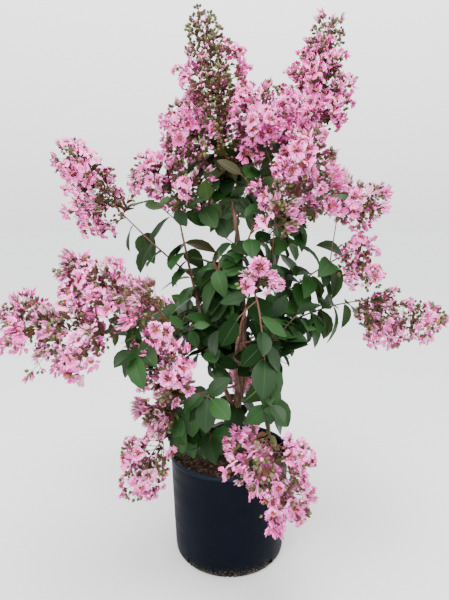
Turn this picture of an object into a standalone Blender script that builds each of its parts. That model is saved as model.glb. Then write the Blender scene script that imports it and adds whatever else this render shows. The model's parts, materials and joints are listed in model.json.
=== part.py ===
"""A crape myrtle shrub in a round plastic nursery pot.

Metres, +Z up. The origin is the middle of the pot's flat underside, and -Y is the plant's front.
The trunk stands on the potting compost and runs up into the crown, and four stems fork from it.
Flowering shoots leave the trunk and stems. Each is a bare bough, then a leafy stretch, then a
panicle of blossom. Leafy shoots with no flowers fill the heart of the shrub.
"""

import math
import random
from collections import namedtuple

import bmesh
import bpy
from mathutils import Matrix, Vector
from mathutils.bvhtree import BVHTree

# Pot: a round container with nearly upright walls and a square lip
POT_HEIGHT = 0.240
POT_LIP_RADIUS = 0.140
POT_LIP_HEIGHT = 0.012
POT_LIP_CHAMFER = 0.0015
POT_TOP_RADIUS = 0.1365
POT_FOOT_RADIUS = 0.127
POT_FOOT_CHAMFER = 0.005
POT_WALL = 0.0025
POT_FLOOR = 0.004
POT_SIDES = 32
DRAIN_NOTCHES = 8
DRAIN_RADIUS = 0.009
DRAIN_DEPTH = 0.030
DRAIN_CENTRE_RADIUS = 0.130
DRAIN_CENTRE_HEIGHT = 0.006
DRAIN_SIDES = 8

# Compost: level in the middle, where the trunk stands, and a little lower at the wall
COMPOST_HEIGHT = 0.220
COMPOST_EDGE_HEIGHT = 0.213
COMPOST_LEVEL_RADIUS = 0.055

# Wood: radii at the two ends of each kind of limb
GAP = 0.0003
JOINT_GAP = 0.0004
TRUNK_FOOT = Vector((0.0, 0.005, COMPOST_HEIGHT + GAP))
TRUNK_KNEE = Vector((0.062, 0.000, 0.560))
TRUNK_TIP = Vector((-0.004, 0.018, 0.850))
TRUNK_RADII = (0.0115, 0.0032)
ROOT_FLARE = 0.009
ROOT_FLARE_FADE = 0.014
STEM_RADII = (0.0068, 0.0030)
BOUGH_RADII = (0.0030, 0.0021)
LEAFY_RADII = (0.0020, 0.0018)
PANICLE_RADII = (0.0018, 0.0015)
TWIG_RADIUS = 0.0017
BRANCH_RADIUS = 0.0012
STALK_RADIUS = 0.0010
TWIG_TAPER = 0.8
FORK_SHARE = 0.75
FOLLOWING_PULL = 0.45
PANICLE_PULL = 0.4
WOOD_SIDES = 8
BOUGH_SIDES = 6
AXIS_SIDES = 4
WELD = 0.00001

# Where a limb's points lie, as shares of its length: close together at an end that meets another
BOUGH_SHARES = (0.0, 0.5, 0.94, 1.0)
LEAFY_SHARES = (0.0, 0.06, 0.5, 0.94, 1.0)
PANICLE_SHARES = (0.0, 0.05, 0.5, 1.0)
BARE_STALK_SHARES = (0.0, 0.5)
CURVE_POINTS = 13
TRUNK_POINTS = 11
STEM_POINTS = 7

# Leaves: broad pointed blades in opposite pairs that hang a little
LEAF_LENGTH = 0.068
LEAF_WIDTH = 0.041
LEAF_THICKNESS = 0.0016
LEAF_CORNERS = 6
LEAF_SHOULDER = 0.6
LEAF_THICKEST = 0.45
LEAF_SPACING = 0.044
LEAF_FORWARD = 0.45
LEAF_DROOP = 0.75
LEAF_TILT = 0.5
LEAF_SCATTER = 0.55
LEAF_SWAY = 0.3
LEAF_OFFSET = 0.0004
LEAF_SIZES = (0.8, 1.15)
LEAF_DROOPS = (0.5, 1.3)
LEAF_LIFT = 0.7
END_LEAF_DROOP = 0.3
LEAVES_END = 0.97
AXIS_LEAVES_START = 0.06
TWIG_LEAVES_START = 0.25
TWIG_LEAF_SIZE = 0.9
TWIG_REACH = (0.055, 0.095)
TWIG_FORWARD = 0.6
TWIG_ATTEMPTS = 4
TWIG_STRETCH = (0.12, 0.92)

# Blossom: each six-cornered dome stands for a flower and its close neighbours
BLOSSOM_RADIUS = 0.026
BLOSSOM_HEIGHT = 0.018
BLOSSOM_CORNERS = 6
BLOSSOM_NOTCH = 0.84
BLOSSOM_SINK = 0.004
BUD_LENGTH = 0.011
BUD_RADIUS = 0.0045
BUD_SIDES = 5
BUD_SINK = 0.003

# Panicle: branches leave its axis by turns, long and level below, short and steep at its tip
BRANCH_SPACING = 0.0135
BRANCH_STUB = 0.014
BRANCH_LEAN = (math.radians(66), math.radians(40))
BRANCH_FADE = 0.8
BRANCH_STRETCH = (0.04, 0.96)
BRANCH_SWAY = 0.35
BRANCH_REACHES = (0.8, 1.1)
BRANCHES_AT_LEAST = 4
SIDE_STALK = 0.012
SIDE_FORWARD = 0.5
SIDE_SIZES = (0.8, 1.0)
SIDE_START = 0.8
END_SIZES = (0.85, 1.1)
SIDE_BLOSSOM_SPACING = 0.037
BUDS_FROM = 0.86
SHORTER = (1.0, 0.82, 0.64, 0.46)
GOLDEN_TURN = math.radians(137.5)

# No leaf, twig or blossom comes nearer than this to another solid, or to the ground
CLEARANCE = 0.0012
GROUND_CLEARANCE = 0.012

# A stem forks from the trunk at a height, sets out towards its knee and ends at its tip.
Stem = namedtuple("Stem", "name height knee tip")
STEMS = [
    Stem("stem_right", 0.300, Vector((0.060, 0.000, 0.500)), Vector((0.150, 0.045, 0.840))),
    Stem("stem_left", 0.322, Vector((-0.050, -0.010, 0.460)), Vector((-0.103, -0.020, 0.740))),
    Stem("stem_front", 0.370, Vector((0.000, -0.065, 0.480)), Vector((0.030, -0.150, 0.600))),
    Stem("stem_back", 0.395, Vector((-0.010, 0.080, 0.530)), Vector((0.020, 0.170, 0.760))),
]

# A shoot leaves its parent at a share of the parent's length, or follows it where that is 1.
# It arches up by arch on its way to its base, where its panicle starts. The panicle ends at tip,
# and spread is the reach of its lowest branches. The first part of the way, bare, is a bare bough,
# and twigs is the number of leafy twigs on the rest. With bare 1 the shoot has no leaves, and with
# no tip it has no panicle.
Shoot = namedtuple("Shoot", "name parent at arch base tip spread bare twigs")
SHOOTS = [
    Shoot("crown", "trunk", 1, 0, (-0.017, 0.02, 0.945), (-0.063, 0.02, 1.185), 0.095, 0, 2),
    Shoot("crown_right", "stem_right", 1, 0, (0.184, 0.06, 0.935), (0.212, 0.06, 1.18), 0.085, 0, 2),
    Shoot("crown_left", "stem_left", 1, 0, (-0.104, -0.01, 0.815), (-0.19, 0, 0.87), 0.06, 0, 2),
    Shoot("back_top", "stem_back", 1, 0, (0.05, 0.24, 0.85), (0.085, 0.29, 1.01), 0.08, 0, 2),
    Shoot("front_droop", "stem_front", 1, 0.05, (0.07, -0.225, 0.4), (0.09, -0.215, 0.19), 0.075, 0, 1),
    Shoot("left_high", "stem_left", 0.78, -0.01, (-0.239, 0.02, 0.782), (-0.358, 0.02, 0.925), 0.07, 0.3, 1),
    Shoot("right_far", "stem_right", 0.35, 0.03, (0.27, -0.01, 0.588), (0.468, -0.02, 0.552), 0.07, 0.4, 1),
    Shoot("left_far", "stem_left", 0.42, 0.05, (-0.215, -0.2, 0.563), (-0.405, -0.2, 0.59), 0.096, 0.4, 1),
    Shoot("right_high", "stem_right", 0.72, 0, (0.13, -0.085, 0.8), (0.172, -0.11, 0.925), 0.088, 0.3, 1),
    Shoot("left_low", "trunk", 0.07, 0.05, (-0.125, -0.125, 0.33), (-0.19, -0.13, 0.215), 0.062, 0.3, 1),
    Shoot("front_left", "stem_front", 0.1, 0, (-0.075, -0.19, 0.44), (-0.15, -0.2, 0.535), 0.062, 0.3, 1),
    Shoot("back_left", "stem_back", 0.42, 0, (-0.215, 0.235, 0.52), (-0.325, 0.265, 0.55), 0.08, 0.35, 2),
    Shoot("back_right", "stem_back", 0.7, 0, (0.175, 0.19, 0.8), (0.285, 0.235, 0.865), 0.08, 0.35, 2),
    Shoot("right_elbow", "stem_right", 0.48, 0.02, (0.25, -0.05, 0.7), (0.312, -0.05, 0.632), 0.048, 0, 1),
    Shoot("back_low", "stem_back", 0.18, 0.03, (0.03, 0.2, 0.44), (0.05, 0.235, 0.3), 0.065, 0, 1),
    Shoot("crown_shoulder", "trunk", 0.93, 0, (-0.06, -0.02, 0.895), (-0.12, -0.025, 0.99), 0.07, 1, 0),
    Shoot("crown_middle", "stem_right", 0.88, 0, (0.075, 0, 0.92), (0.07, -0.01, 1.035), 0.078, 1, 0),
    Shoot("right_outer", "right_elbow_leaves", 0.8, 0, (0.225, -0.035, 0.775), (0.318, -0.03, 0.815),
          0.055, 1, 0),
    Shoot("left_upper", "left_far_leaves", 0.55, 0, (-0.2, -0.165, 0.6), (-0.3, -0.15, 0.7), 0.078, 1, 0),
    Shoot("left_inner", "left_far_leaves", 0.2, 0, (-0.11, -0.195, 0.575), (-0.16, -0.215, 0.645),
          0.062, 1, 0),
    Shoot("front_small", "stem_front", 0.45, 0.03, (0.05, -0.165, 0.635), (0.055, -0.18, 0.69), 0.04, 1, 0),
    Shoot("front_high", "stem_right", 0.6, 0, (0.084, -0.11, 0.74), (0.083, -0.145, 0.795), 0.05, 1, 0),
    Shoot("left_small", "left_low_bough", 0.6, 0, (-0.1, -0.165, 0.39), (-0.17, -0.175, 0.405), 0.04, 1, 0),
    Shoot("heart_front", "stem_front", 0.6, 0.01, (0.095, -0.13, 0.53), None, 0, 0, 4),
    Shoot("heart_low", "stem_front", 0.25, 0.01, (0.09, -0.11, 0.43), None, 0, 0, 3),
    Shoot("heart_right", "stem_right", 0.28, 0.01, (0.165, -0.03, 0.52), None, 0, 0, 4),
    Shoot("heart_left", "stem_left", 0.3, 0.01, (-0.11, -0.06, 0.53), None, 0, 0, 4),
    Shoot("heart_middle", "trunk", 0.52, 0.01, (-0.035, -0.095, 0.68), None, 0, 0, 4),
    Shoot("heart_high", "trunk", 0.72, 0.01, (0.07, -0.06, 0.81), None, 0, 0, 4),
    Shoot("heart_back", "trunk", 0.4, 0.01, (-0.075, 0.105, 0.57), None, 0, 0, 4),
]

# Where two faces meet at more than this, their edge stays crisp
CRISP_EDGE = math.radians(50)

# Materials: base colour, roughness and metallic
FINISHES = {
    "pot": ((0.012, 0.018, 0.033), 0.45, 0.0),
    "compost": ((0.060, 0.030, 0.018), 0.95, 0.0),
    "bark": ((0.300, 0.170, 0.120), 0.80, 0.0),
    "leaf": ((0.035, 0.110, 0.038), 0.50, 0.0),
    "blossom": ((0.830, 0.330, 0.590), 0.70, 0.0),
}


# Scene and materials

def clear_scene():
    for item in list(bpy.data.objects):
        bpy.data.objects.remove(item, do_unlink=True)


def new_collection(name):
    made = bpy.data.collections.new(name)
    bpy.context.scene.collection.children.link(made)
    return made


def remove_collection(group):
    for item in list(group.objects):
        bpy.data.objects.remove(item)
    bpy.data.collections.remove(group)


def finish(name):
    """The material of that name, made once."""
    material = bpy.data.materials.get(name)
    if material is None:
        colour, roughness, metallic = FINISHES[name]
        material = bpy.data.materials.new(name)
        material.use_nodes = True
        shader = material.node_tree.nodes["Principled BSDF"]
        shader.inputs["Base Color"].default_value = (*colour, 1.0)
        shader.inputs["Roughness"].default_value = roughness
        shader.inputs["Metallic"].default_value = metallic
    return material


def give_finish(item, name):
    item.data.materials.clear()
    item.data.materials.append(finish(name))


def shade_round(item):
    """Smooth shading, with each edge sharper than an angle left crisp."""
    item.data.shade_smooth()
    item.data.set_sharp_from_angle(angle=CRISP_EDGE)


# Meshes and modifiers

def mesh_object(name, bm, collection):
    """A new object in the collection, with the bmesh as its mesh."""
    bmesh.ops.recalc_face_normals(bm, faces=bm.faces)
    mesh = bpy.data.meshes.new(name)
    bm.to_mesh(mesh)
    bm.free()
    made = bpy.data.objects.new(name, mesh)
    collection.objects.link(made)
    return made


def apply_modifiers(item):
    """Gives the object its mesh as its modifiers leave it, and no modifiers."""
    graph = bpy.context.evaluated_depsgraph_get()
    mesh = bpy.data.meshes.new_from_object(item.evaluated_get(graph))
    item.modifiers.clear()
    item.data = mesh


def boolean_with_group(item, operation, group):
    """Joins the group's objects to the item, or cuts them from it, and removes them."""
    group.hide_render = True
    for member in group.objects:
        member.display_type = "WIRE"
    modifier = item.modifiers.new(operation.title(), "BOOLEAN")
    modifier.operation = operation
    modifier.solver = "EXACT"
    modifier.operand_type = "COLLECTION"
    modifier.collection = group
    apply_modifiers(item)
    remove_collection(group)


# Points and directions along a line

def bezier(start, knee, end, count=CURVE_POINTS):
    """Points along a quadratic curve that sets out towards the knee and ends at the end."""
    points = []
    for i in range(count):
        t = i / (count - 1)
        points.append(start * (1 - t) ** 2 + knee * (2 * t * (1 - t)) + end * t ** 2)
    return points


def along(points, share):
    """The point at a share of a polyline's length."""
    lengths = [(b - a).length for a, b in zip(points, points[1:])]
    left = share * sum(lengths)
    for a, b, length in zip(points, points[1:], lengths):
        if left <= length:
            return a.lerp(b, left / length)
        left -= length
    return points[-1].copy()


def heading(points, share, step=0.02):
    """The direction of a polyline near a share of its length."""
    return (along(points, min(1.0, share + step)) - along(points, max(0.0, share - step))).normalized()


def length_of(points):
    return sum((b - a).length for a, b in zip(points, points[1:]))


def spaced(low, high, i, count):
    """The middle of the i-th of count equal steps from low to high."""
    return low + (high - low) * (i + 0.5) / count


def stretch(points, low, high, shares):
    """The part of a polyline between two shares of its length, with points at the given shares of it."""
    return [along(points, low + (high - low) * share) for share in shares]


def sideways(direction, turn):
    """A unit vector square to the direction, turned about it from the most level one."""
    level = direction.cross(Vector((0, 0, 1)))
    if level.length < 0.05:
        level = direction.cross(Vector((1, 0, 0)))
    level.normalize()
    return (Matrix.Rotation(turn, 3, direction) @ level).normalized()


def upright_on(direction):
    """A rotation that takes +Z to the direction."""
    return direction.to_track_quat("Z", "Y").to_matrix().to_4x4()


def laid_along(direction, face):
    """A rotation that takes +X to the direction, with +Z as near the face as it can be."""
    x = direction.normalized()
    y = face.cross(x)
    if y.length < 0.05:
        y = Vector((0, 1, 0)).cross(x)
    y.normalize()
    return Matrix((x, y, x.cross(y))).transposed().to_4x4()


# The shapes that a limb, twig, leaf or blossom is made of

def tube(name, points, radii, sides, collection):
    """A closed tube through the points, with a radius at each, made from a bevelled curve."""
    curve = bpy.data.curves.new(name, "CURVE")
    curve.dimensions = "3D"
    curve.bevel_depth = 1.0
    curve.bevel_resolution = (sides - 4) // 2
    curve.use_fill_caps = True
    spline = curve.splines.new("POLY")
    spline.points.add(len(points) - 1)
    for place, point, radius in zip(spline.points, points, radii):
        place.co = (*point, 1.0)
        place.radius = radius
    item = bpy.data.objects.new(name, curve)
    collection.objects.link(item)
    graph = bpy.context.evaluated_depsgraph_get()
    mesh = bpy.data.meshes.new_from_object(item.evaluated_get(graph))
    bpy.data.objects.remove(item)
    bm = bmesh.new()
    bm.from_mesh(mesh)
    bmesh.ops.remove_doubles(bm, verts=bm.verts, dist=WELD)
    return mesh_object(name, bm, collection)


def twig_solid(start, end, radius):
    """A three-sided tapering twig."""
    bm = bmesh.new()
    way = end - start
    bmesh.ops.create_cone(bm, cap_ends=True, segments=3, radius1=radius, radius2=radius * TWIG_TAPER,
                          depth=way.length)
    place = Matrix.Translation((start + end) / 2) @ upright_on(way)
    bmesh.ops.transform(bm, matrix=place, verts=bm.verts)
    return bm


def dome_solid(root, direction, radius, height, sides):
    """A pointed dome whose flat base is centred on the root and faces away from the direction."""
    bm = bmesh.new()
    bmesh.ops.create_cone(bm, cap_ends=True, segments=sides, radius1=radius, radius2=0.0, depth=height,
                          matrix=Matrix.Translation((0, 0, height / 2)))
    bmesh.ops.transform(bm, matrix=Matrix.Translation(root) @ upright_on(direction), verts=bm.verts)
    return bm


def blossom_solid(root, direction, size):
    """A dome with every second corner drawn in, for a ring of petals."""
    bm = dome_solid(root, direction, BLOSSOM_RADIUS * size, BLOSSOM_HEIGHT * size, BLOSSOM_CORNERS)
    base = max(bm.faces, key=lambda face: len(face.verts))
    for corner in list(base.verts)[::2]:
        corner.co = root.lerp(corner.co, BLOSSOM_NOTCH)
    return bm


def bud_solid(root, direction):
    return dome_solid(root, direction, BUD_RADIUS, BUD_LENGTH, BUD_SIDES)


def leaf_solid(root, direction, length, face):
    """A thin pointed blade, flat beneath and thickest near its middle."""
    bm = bmesh.new()
    bmesh.ops.create_cone(bm, cap_ends=True, segments=LEAF_CORNERS, radius1=0.5, radius2=0.0, depth=1.0,
                          matrix=Matrix.Rotation(math.pi / 2, 4, "Z"))
    for corner in bm.verts:
        x, y, z = corner.co
        is_middle = z > 0
        is_shoulder = not is_middle and x > 0.1 and abs(y) > 0.1
        share = LEAF_THICKEST if is_middle else 0.5 + x * (LEAF_SHOULDER if is_shoulder else 1)
        rise = LEAF_THICKNESS * (LEAF_LIFT if is_middle else LEAF_LIFT - 1)
        corner.co = Vector((share * length, y * LEAF_WIDTH * length / LEAF_LENGTH, rise))
    bmesh.ops.transform(bm, matrix=Matrix.Translation(root) @ laid_along(direction, face), verts=bm.verts)
    return bm


# Keeping each solid clear of the others

def bounds_of(bm):
    corners = [v.co for v in bm.verts]
    low = Vector([min(c[i] for c in corners) for i in range(3)])
    high = Vector([max(c[i] for c in corners) for i in range(3)])
    return low, high


class Taken:
    """The space that finished pieces hold. A piece's tag is its node and its number there."""

    def __init__(self):
        self.pieces = []

    def add(self, tag, bm):
        low, high = bounds_of(bm)
        self.pieces.append((tag, low, high, BVHTree.FromBMesh(bm)))

    def add_object(self, item):
        bm = bmesh.new()
        bm.from_mesh(item.data)
        self.add((item.name, 0), bm)
        bm.free()

    def blocks(self, bm, holders=()):
        """True if the bmesh, grown by the clearance, nears the ground or a piece that isn't a holder."""
        grown = bm.copy()
        grown.normal_update()
        for corner in grown.verts:
            corner.co += corner.normal * CLEARANCE
        low, high = bounds_of(grown)
        tree = BVHTree.FromBMesh(grown)
        grown.free()
        if low.z < GROUND_CLEARANCE:
            return True
        for tag, other_low, other_high, other in self.pieces:
            if tag in holders:
                continue
            if any(high[i] < other_low[i] or low[i] > other_high[i] for i in range(3)):
                continue
            if tree.overlap(other):
                return True
        return False


# Pot and compost

def turned_object(name, profile, collection):
    """A closed body turned round Z from a profile of (radius, height) that runs down its outer side."""
    mesh = bpy.data.meshes.new(name)
    mesh.from_pydata([(r, 0.0, z) for r, z in profile], [(i, i + 1) for i in range(len(profile) - 1)], [])
    item = bpy.data.objects.new(name, mesh)
    collection.objects.link(item)
    screw = item.modifiers.new("Turn", "SCREW")
    screw.steps = screw.render_steps = POT_SIDES
    screw.use_merge_vertices = True
    screw.merge_threshold = 0.0001
    apply_modifiers(item)
    give_finish(item, name)
    shade_round(item)
    return item


def wall_radius(height):
    """The pot's outer wall at a height."""
    return POT_FOOT_RADIUS + (POT_TOP_RADIUS - POT_FOOT_RADIUS) * height / POT_HEIGHT


def make_pot(parts):
    lip_bottom = POT_HEIGHT - POT_LIP_HEIGHT
    pot = turned_object("pot", [
        (0.0, POT_FLOOR),
        (wall_radius(POT_FLOOR) - POT_WALL, POT_FLOOR),
        (POT_TOP_RADIUS - POT_WALL, POT_HEIGHT),
        (POT_LIP_RADIUS - POT_LIP_CHAMFER, POT_HEIGHT),
        (POT_LIP_RADIUS, POT_HEIGHT - POT_LIP_CHAMFER),
        (POT_LIP_RADIUS, lip_bottom),
        (wall_radius(lip_bottom), lip_bottom),
        (wall_radius(POT_FOOT_CHAMFER), POT_FOOT_CHAMFER),
        (POT_FOOT_RADIUS - POT_FOOT_CHAMFER, 0.0),
        (0.0, 0.0),
    ], parts)
    notches = new_collection("drain_cutters")
    for i in range(DRAIN_NOTCHES):
        turn = Matrix.Rotation(2 * math.pi * i / DRAIN_NOTCHES, 4, "Z")
        place = Matrix.Translation((DRAIN_CENTRE_RADIUS, 0, DRAIN_CENTRE_HEIGHT))
        bm = bmesh.new()
        bmesh.ops.create_cone(bm, cap_ends=True, segments=DRAIN_SIDES, radius1=DRAIN_RADIUS,
                              radius2=DRAIN_RADIUS, depth=DRAIN_DEPTH,
                              matrix=turn @ place @ Matrix.Rotation(math.pi / 2, 4, "Y"))
        mesh_object(f"drain_cutter_{i}", bm, notches)
    boolean_with_group(pot, "DIFFERENCE", notches)
    shade_round(pot)
    return pot


def make_compost(parts):
    inside = POT_WALL + GAP
    return turned_object("compost", [
        (0.0, COMPOST_HEIGHT),
        (COMPOST_LEVEL_RADIUS, COMPOST_HEIGHT),
        (wall_radius(COMPOST_EDGE_HEIGHT) - inside, COMPOST_EDGE_HEIGHT),
        (wall_radius(POT_FLOOR) - inside, POT_FLOOR + GAP),
        (0.0, POT_FLOOR + GAP),
    ], parts)


# Wood: trunk, stems, boughs, and the axes of leafy stretches and panicles

class Limb:
    """A tapering limb: its centre line, its radius at each point, its sides and what it forks from."""

    def __init__(self, points, end_radii, sides, fork=None):
        self.points = points
        self.sides = sides
        self.fork = fork
        first, last = end_radii
        steps = len(points) - 1
        self.radii = [first + (last - first) * i / steps for i in range(steps + 1)]

    def radius_at(self, share):
        return self.radii[0] + (self.radii[-1] - self.radii[0]) * share

    def build(self, name, collection, swell=0.0):
        radii = [radius + swell for radius in self.radii]
        return tube(name, self.points, radii, self.sides, collection)


def make_trunk_limb():
    """The trunk rises straight out of the compost, so that its foot is cut level."""
    flare_top = TRUNK_FOOT + Vector((0, 0, ROOT_FLARE_FADE))
    limb = Limb([TRUNK_FOOT, *bezier(flare_top, TRUNK_KNEE, TRUNK_TIP, TRUNK_POINTS)], TRUNK_RADII,
                WOOD_SIDES)
    for i, point in enumerate(limb.points):
        limb.radii[i] += ROOT_FLARE * math.exp(-(point.z - TRUNK_FOOT.z) / ROOT_FLARE_FADE)
    return limb


def share_at_height(points, height, steps=200):
    """The share of a rising polyline's length where it reaches a height."""
    return next(i / steps for i in range(steps + 1) if along(points, i / steps).z >= height)


def thinned(end_radii, room):
    """The radii of a limb's two ends, no thicker than the room that it starts in."""
    return tuple(min(radius, room) for radius in end_radii)


def make_limbs():
    """Every limb by the name of its node."""
    limbs = {"trunk": make_trunk_limb()}
    rise = limbs["trunk"].points
    for stem in STEMS:
        start = along(rise, share_at_height(rise, stem.height))
        points = bezier(start, stem.knee, stem.tip, STEM_POINTS)
        limbs[stem.name] = Limb(points, STEM_RADII, WOOD_SIDES, "trunk")
    for shoot in SHOOTS:
        add_shoot_limbs(shoot, limbs)
    return limbs


def add_shoot_limbs(shoot, limbs):
    """The shoot's bough, leafy stretch and panicle axis, end to end with a fine gap between them."""
    parent = limbs[shoot.parent]
    base = Vector(shoot.base)
    start = along(parent.points, shoot.at)
    rise = Vector((0, 0, shoot.arch))
    if shoot.at == 1:
        way_on = heading(parent.points, 1.0)
        start = start + way_on * JOINT_GAP
        knee = start + way_on * (base - start).length * FOLLOWING_PULL + rise
        room = parent.radii[-1]
        fork = None
    else:
        knee = start.lerp(base, 0.5) + rise
        room = parent.radius_at(shoot.at) * FORK_SHARE
        fork = shoot.parent
    path = bezier(start, knee, base)
    if 0 < shoot.bare < 1:
        points = stretch(path, 0.0, shoot.bare, BOUGH_SHARES)
        limbs[shoot.name + "_bough"] = Limb(points, thinned(BOUGH_RADII, room), BOUGH_SIDES, fork)
        fork = None
        steps = [i / (CURVE_POINTS - 1) for i in range(CURVE_POINTS)]
        path = stretch(path, shoot.bare + JOINT_GAP / length_of(path), 1.0, steps)
    if shoot.bare < 1:
        points = stretch(path, 0.0, 1.0, LEAFY_SHARES)
        limbs[shoot.name + "_leaves"] = Limb(points, thinned(LEAFY_RADII, room), AXIS_SIDES, fork)
        fork = None
    if shoot.tip:
        tip = Vector(shoot.tip)
        way_on = (base - knee).normalized()
        turn = base + way_on * (tip - base).length * PANICLE_PULL
        axis = stretch(bezier(base + way_on * JOINT_GAP, turn, tip), 0.0, 1.0, PANICLE_SHARES)
        stalk = stretch(path, 0.0, 1.0, BARE_STALK_SHARES) if shoot.bare == 1 else []
        radii = thinned(PANICLE_RADII, room)
        limbs[shoot.name + "_panicle"] = Limb(stalk + axis, radii, AXIS_SIDES, fork)


def cut_clear(item, limb, limbs):
    """Cuts the item back to a fine gap from the limb that it forks from."""
    parent = limbs[limb.fork]
    cutters = new_collection("cutters")
    parent.build("cutter", cutters, swell=GAP / math.cos(math.pi / parent.sides))
    boolean_with_group(item, "DIFFERENCE", cutters)


# Masses of leaves and blossom

class Mass:
    """One node: an axis with twigs, leaves and blossoms, joined into one solid."""

    def __init__(self, name, limb, taken):
        self.name = name
        self.limb = limb
        self.taken = taken
        self.members = new_collection(name + "_members")
        self.count = 0
        self.axis = (name, 0)

    def add(self, bm, *holders):
        """Keeps the piece if it is clear of all but its holders, and returns its tag."""
        if self.taken.blocks(bm, holders):
            bm.free()
            return None
        self.count += 1
        tag = (self.name, self.count)
        self.taken.add(tag, bm)
        mesh_object(f"{self.name}_piece_{self.count}", bm, self.members)
        return tag

    def join(self, parts):
        item = self.limb.build(self.name, parts)
        boolean_with_group(item, "UNION", self.members)
        return item


def leaf_face(root, rng):
    """Which way a leaf's upper side faces: up, a little away from the trunk, and a little at random."""
    outward = Vector((root.x, root.y, 0)) / (math.hypot(root.x, root.y) + 0.02)
    scatter = Vector((rng.uniform(-1, 1), rng.uniform(-1, 1), rng.uniform(-1, 1)))
    return Vector((0, 0, 1)) + outward * LEAF_TILT + scatter * LEAF_SCATTER


def grow_leaf_pairs(mass, points, holder, first_share, rng, size):
    """Opposite leaves along a twig, each pair turned a quarter from the last."""
    pairs = max(1, round(length_of(points) * (1 - first_share) / LEAF_SPACING))
    turn = rng.uniform(0, math.pi)
    for i in range(pairs):
        share = spaced(first_share, LEAVES_END, i, pairs)
        root = along(points, share)
        forward = heading(points, share)
        partner = None
        for side in (0, math.pi):
            out = sideways(forward, turn + side + rng.uniform(-LEAF_SWAY, LEAF_SWAY))
            droop = Vector((0, 0, -LEAF_DROOP * rng.uniform(*LEAF_DROOPS)))
            length = LEAF_LENGTH * size * rng.uniform(*LEAF_SIZES)
            leaf = leaf_solid(root + out * LEAF_OFFSET, out + forward * LEAF_FORWARD + droop, length,
                              leaf_face(root, rng))
            partner = mass.add(leaf, holder, partner)
        turn += math.pi / 2


def grow_end_leaf(mass, points, holder, rng, size):
    """One leaf that carries a twig on past its end."""
    end = along(points, LEAVES_END)
    aim = heading(points, 1.0) + Vector((0, 0, -END_LEAF_DROOP))
    mass.add(leaf_solid(end, aim, LEAF_LENGTH * size, leaf_face(end, rng)), holder)


def grow_leaves(shoot, mass, rng):
    """A leafy stretch: side twigs that leave its axis by turns, and leaf pairs on them and on it."""
    axis = mass.limb.points
    turn = rng.uniform(0, 2 * math.pi)
    twigs = []
    for i in range(shoot.twigs):
        share = spaced(*TWIG_STRETCH, i, shoot.twigs)
        start = along(axis, share)
        forward = heading(axis, share)
        for attempt in range(TWIG_ATTEMPTS):
            way = (sideways(forward, turn) + forward * TWIG_FORWARD).normalized()
            turn += GOLDEN_TURN
            tip = start + way * rng.uniform(*TWIG_REACH)
            tag = mass.add(twig_solid(start, tip, TWIG_RADIUS), mass.axis)
            if tag:
                twigs.append(([start, tip], tag))
                break
    if not shoot.tip:
        grow_end_leaf(mass, axis, mass.axis, rng, 1.0)
    for points, tag in twigs:
        grow_end_leaf(mass, points, tag, rng, TWIG_LEAF_SIZE)
        grow_leaf_pairs(mass, points, tag, TWIG_LEAVES_START, rng, TWIG_LEAF_SIZE)
    grow_leaf_pairs(mass, axis, mass.axis, AXIS_LEAVES_START, rng, 1.0)


def panicle_branches(axis, spread, rng):
    """The side branches of a panicle as (start, end, share of its axis)."""
    count = max(BRANCHES_AT_LEAST, round(length_of(axis) / BRANCH_SPACING))
    lean_below, lean_tip = BRANCH_LEAN
    branches = []
    for i in range(count):
        share = spaced(*BRANCH_STRETCH, i, count)
        forward = heading(axis, share)
        out = sideways(forward, GOLDEN_TURN * i + rng.uniform(-BRANCH_SWAY, BRANCH_SWAY))
        reach = BRANCH_STUB + spread * (1 - share) ** BRANCH_FADE * rng.uniform(*BRANCH_REACHES)
        lean = lean_below + (lean_tip - lean_below) * share
        start = along(axis, share)
        end = start + (forward * math.cos(lean) + out * math.sin(lean)) * reach
        branches.append((start, end, share))
    return branches


def add_blossom(mass, holder, start, end, radius, size):
    """A twig with a blossom on its end, shortened where the blossom would meet something.

    Returns the twig's tip and tag, or two Nones where there is no room.
    """
    way = (end - start).normalized()
    for share in SHORTER:
        tip = start.lerp(end, share)
        blossom = blossom_solid(tip - way * BLOSSOM_SINK, way, size)
        if not mass.taken.blocks(blossom):
            twig = mass.add(twig_solid(start, tip, radius), holder)
            if twig:
                mass.add(blossom, twig)
                return tip, twig
        blossom.free()
    return None, None


def add_side_blossoms(mass, start, tip, holder, rng):
    """Blossoms on short stalks along a branch."""
    way = (tip - start).normalized()
    turn = rng.uniform(0, 2 * math.pi)
    for i in range(int((tip - start).length / SIDE_BLOSSOM_SPACING)):
        place = tip - way * SIDE_BLOSSOM_SPACING * (i + SIDE_START)
        for attempt in range(TWIG_ATTEMPTS):
            out = (sideways(way, turn) + way * SIDE_FORWARD).normalized()
            turn += GOLDEN_TURN
            size = rng.uniform(*SIDE_SIZES)
            end, stalk = add_blossom(mass, holder, place, place + out * SIDE_STALK, STALK_RADIUS, size)
            if stalk:
                break


def grow_panicle(shoot, mass, rng):
    """A panicle: side branches that carry blossoms, with buds instead near its tip."""
    axis = mass.limb.points[-len(PANICLE_SHARES):]
    branches = []
    for start, end, share in panicle_branches(axis, shoot.spread, rng):
        if share < BUDS_FROM:
            size = rng.uniform(*END_SIZES)
            tip, tag = add_blossom(mass, mass.axis, start, end, BRANCH_RADIUS, size)
            if tag:
                branches.append((start, tip, tag))
            continue
        tag = mass.add(twig_solid(start, end, BRANCH_RADIUS), mass.axis)
        if tag:
            way = (end - start).normalized()
            mass.add(bud_solid(end - way * BUD_SINK, way), tag)
    for start, tip, tag in branches:
        add_side_blossoms(mass, start, tip, tag, rng)
    way_on = heading(axis, 1.0)
    mass.add(bud_solid(axis[-1] - way_on * BUD_SINK, way_on), mass.axis)


# The whole plant

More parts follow.
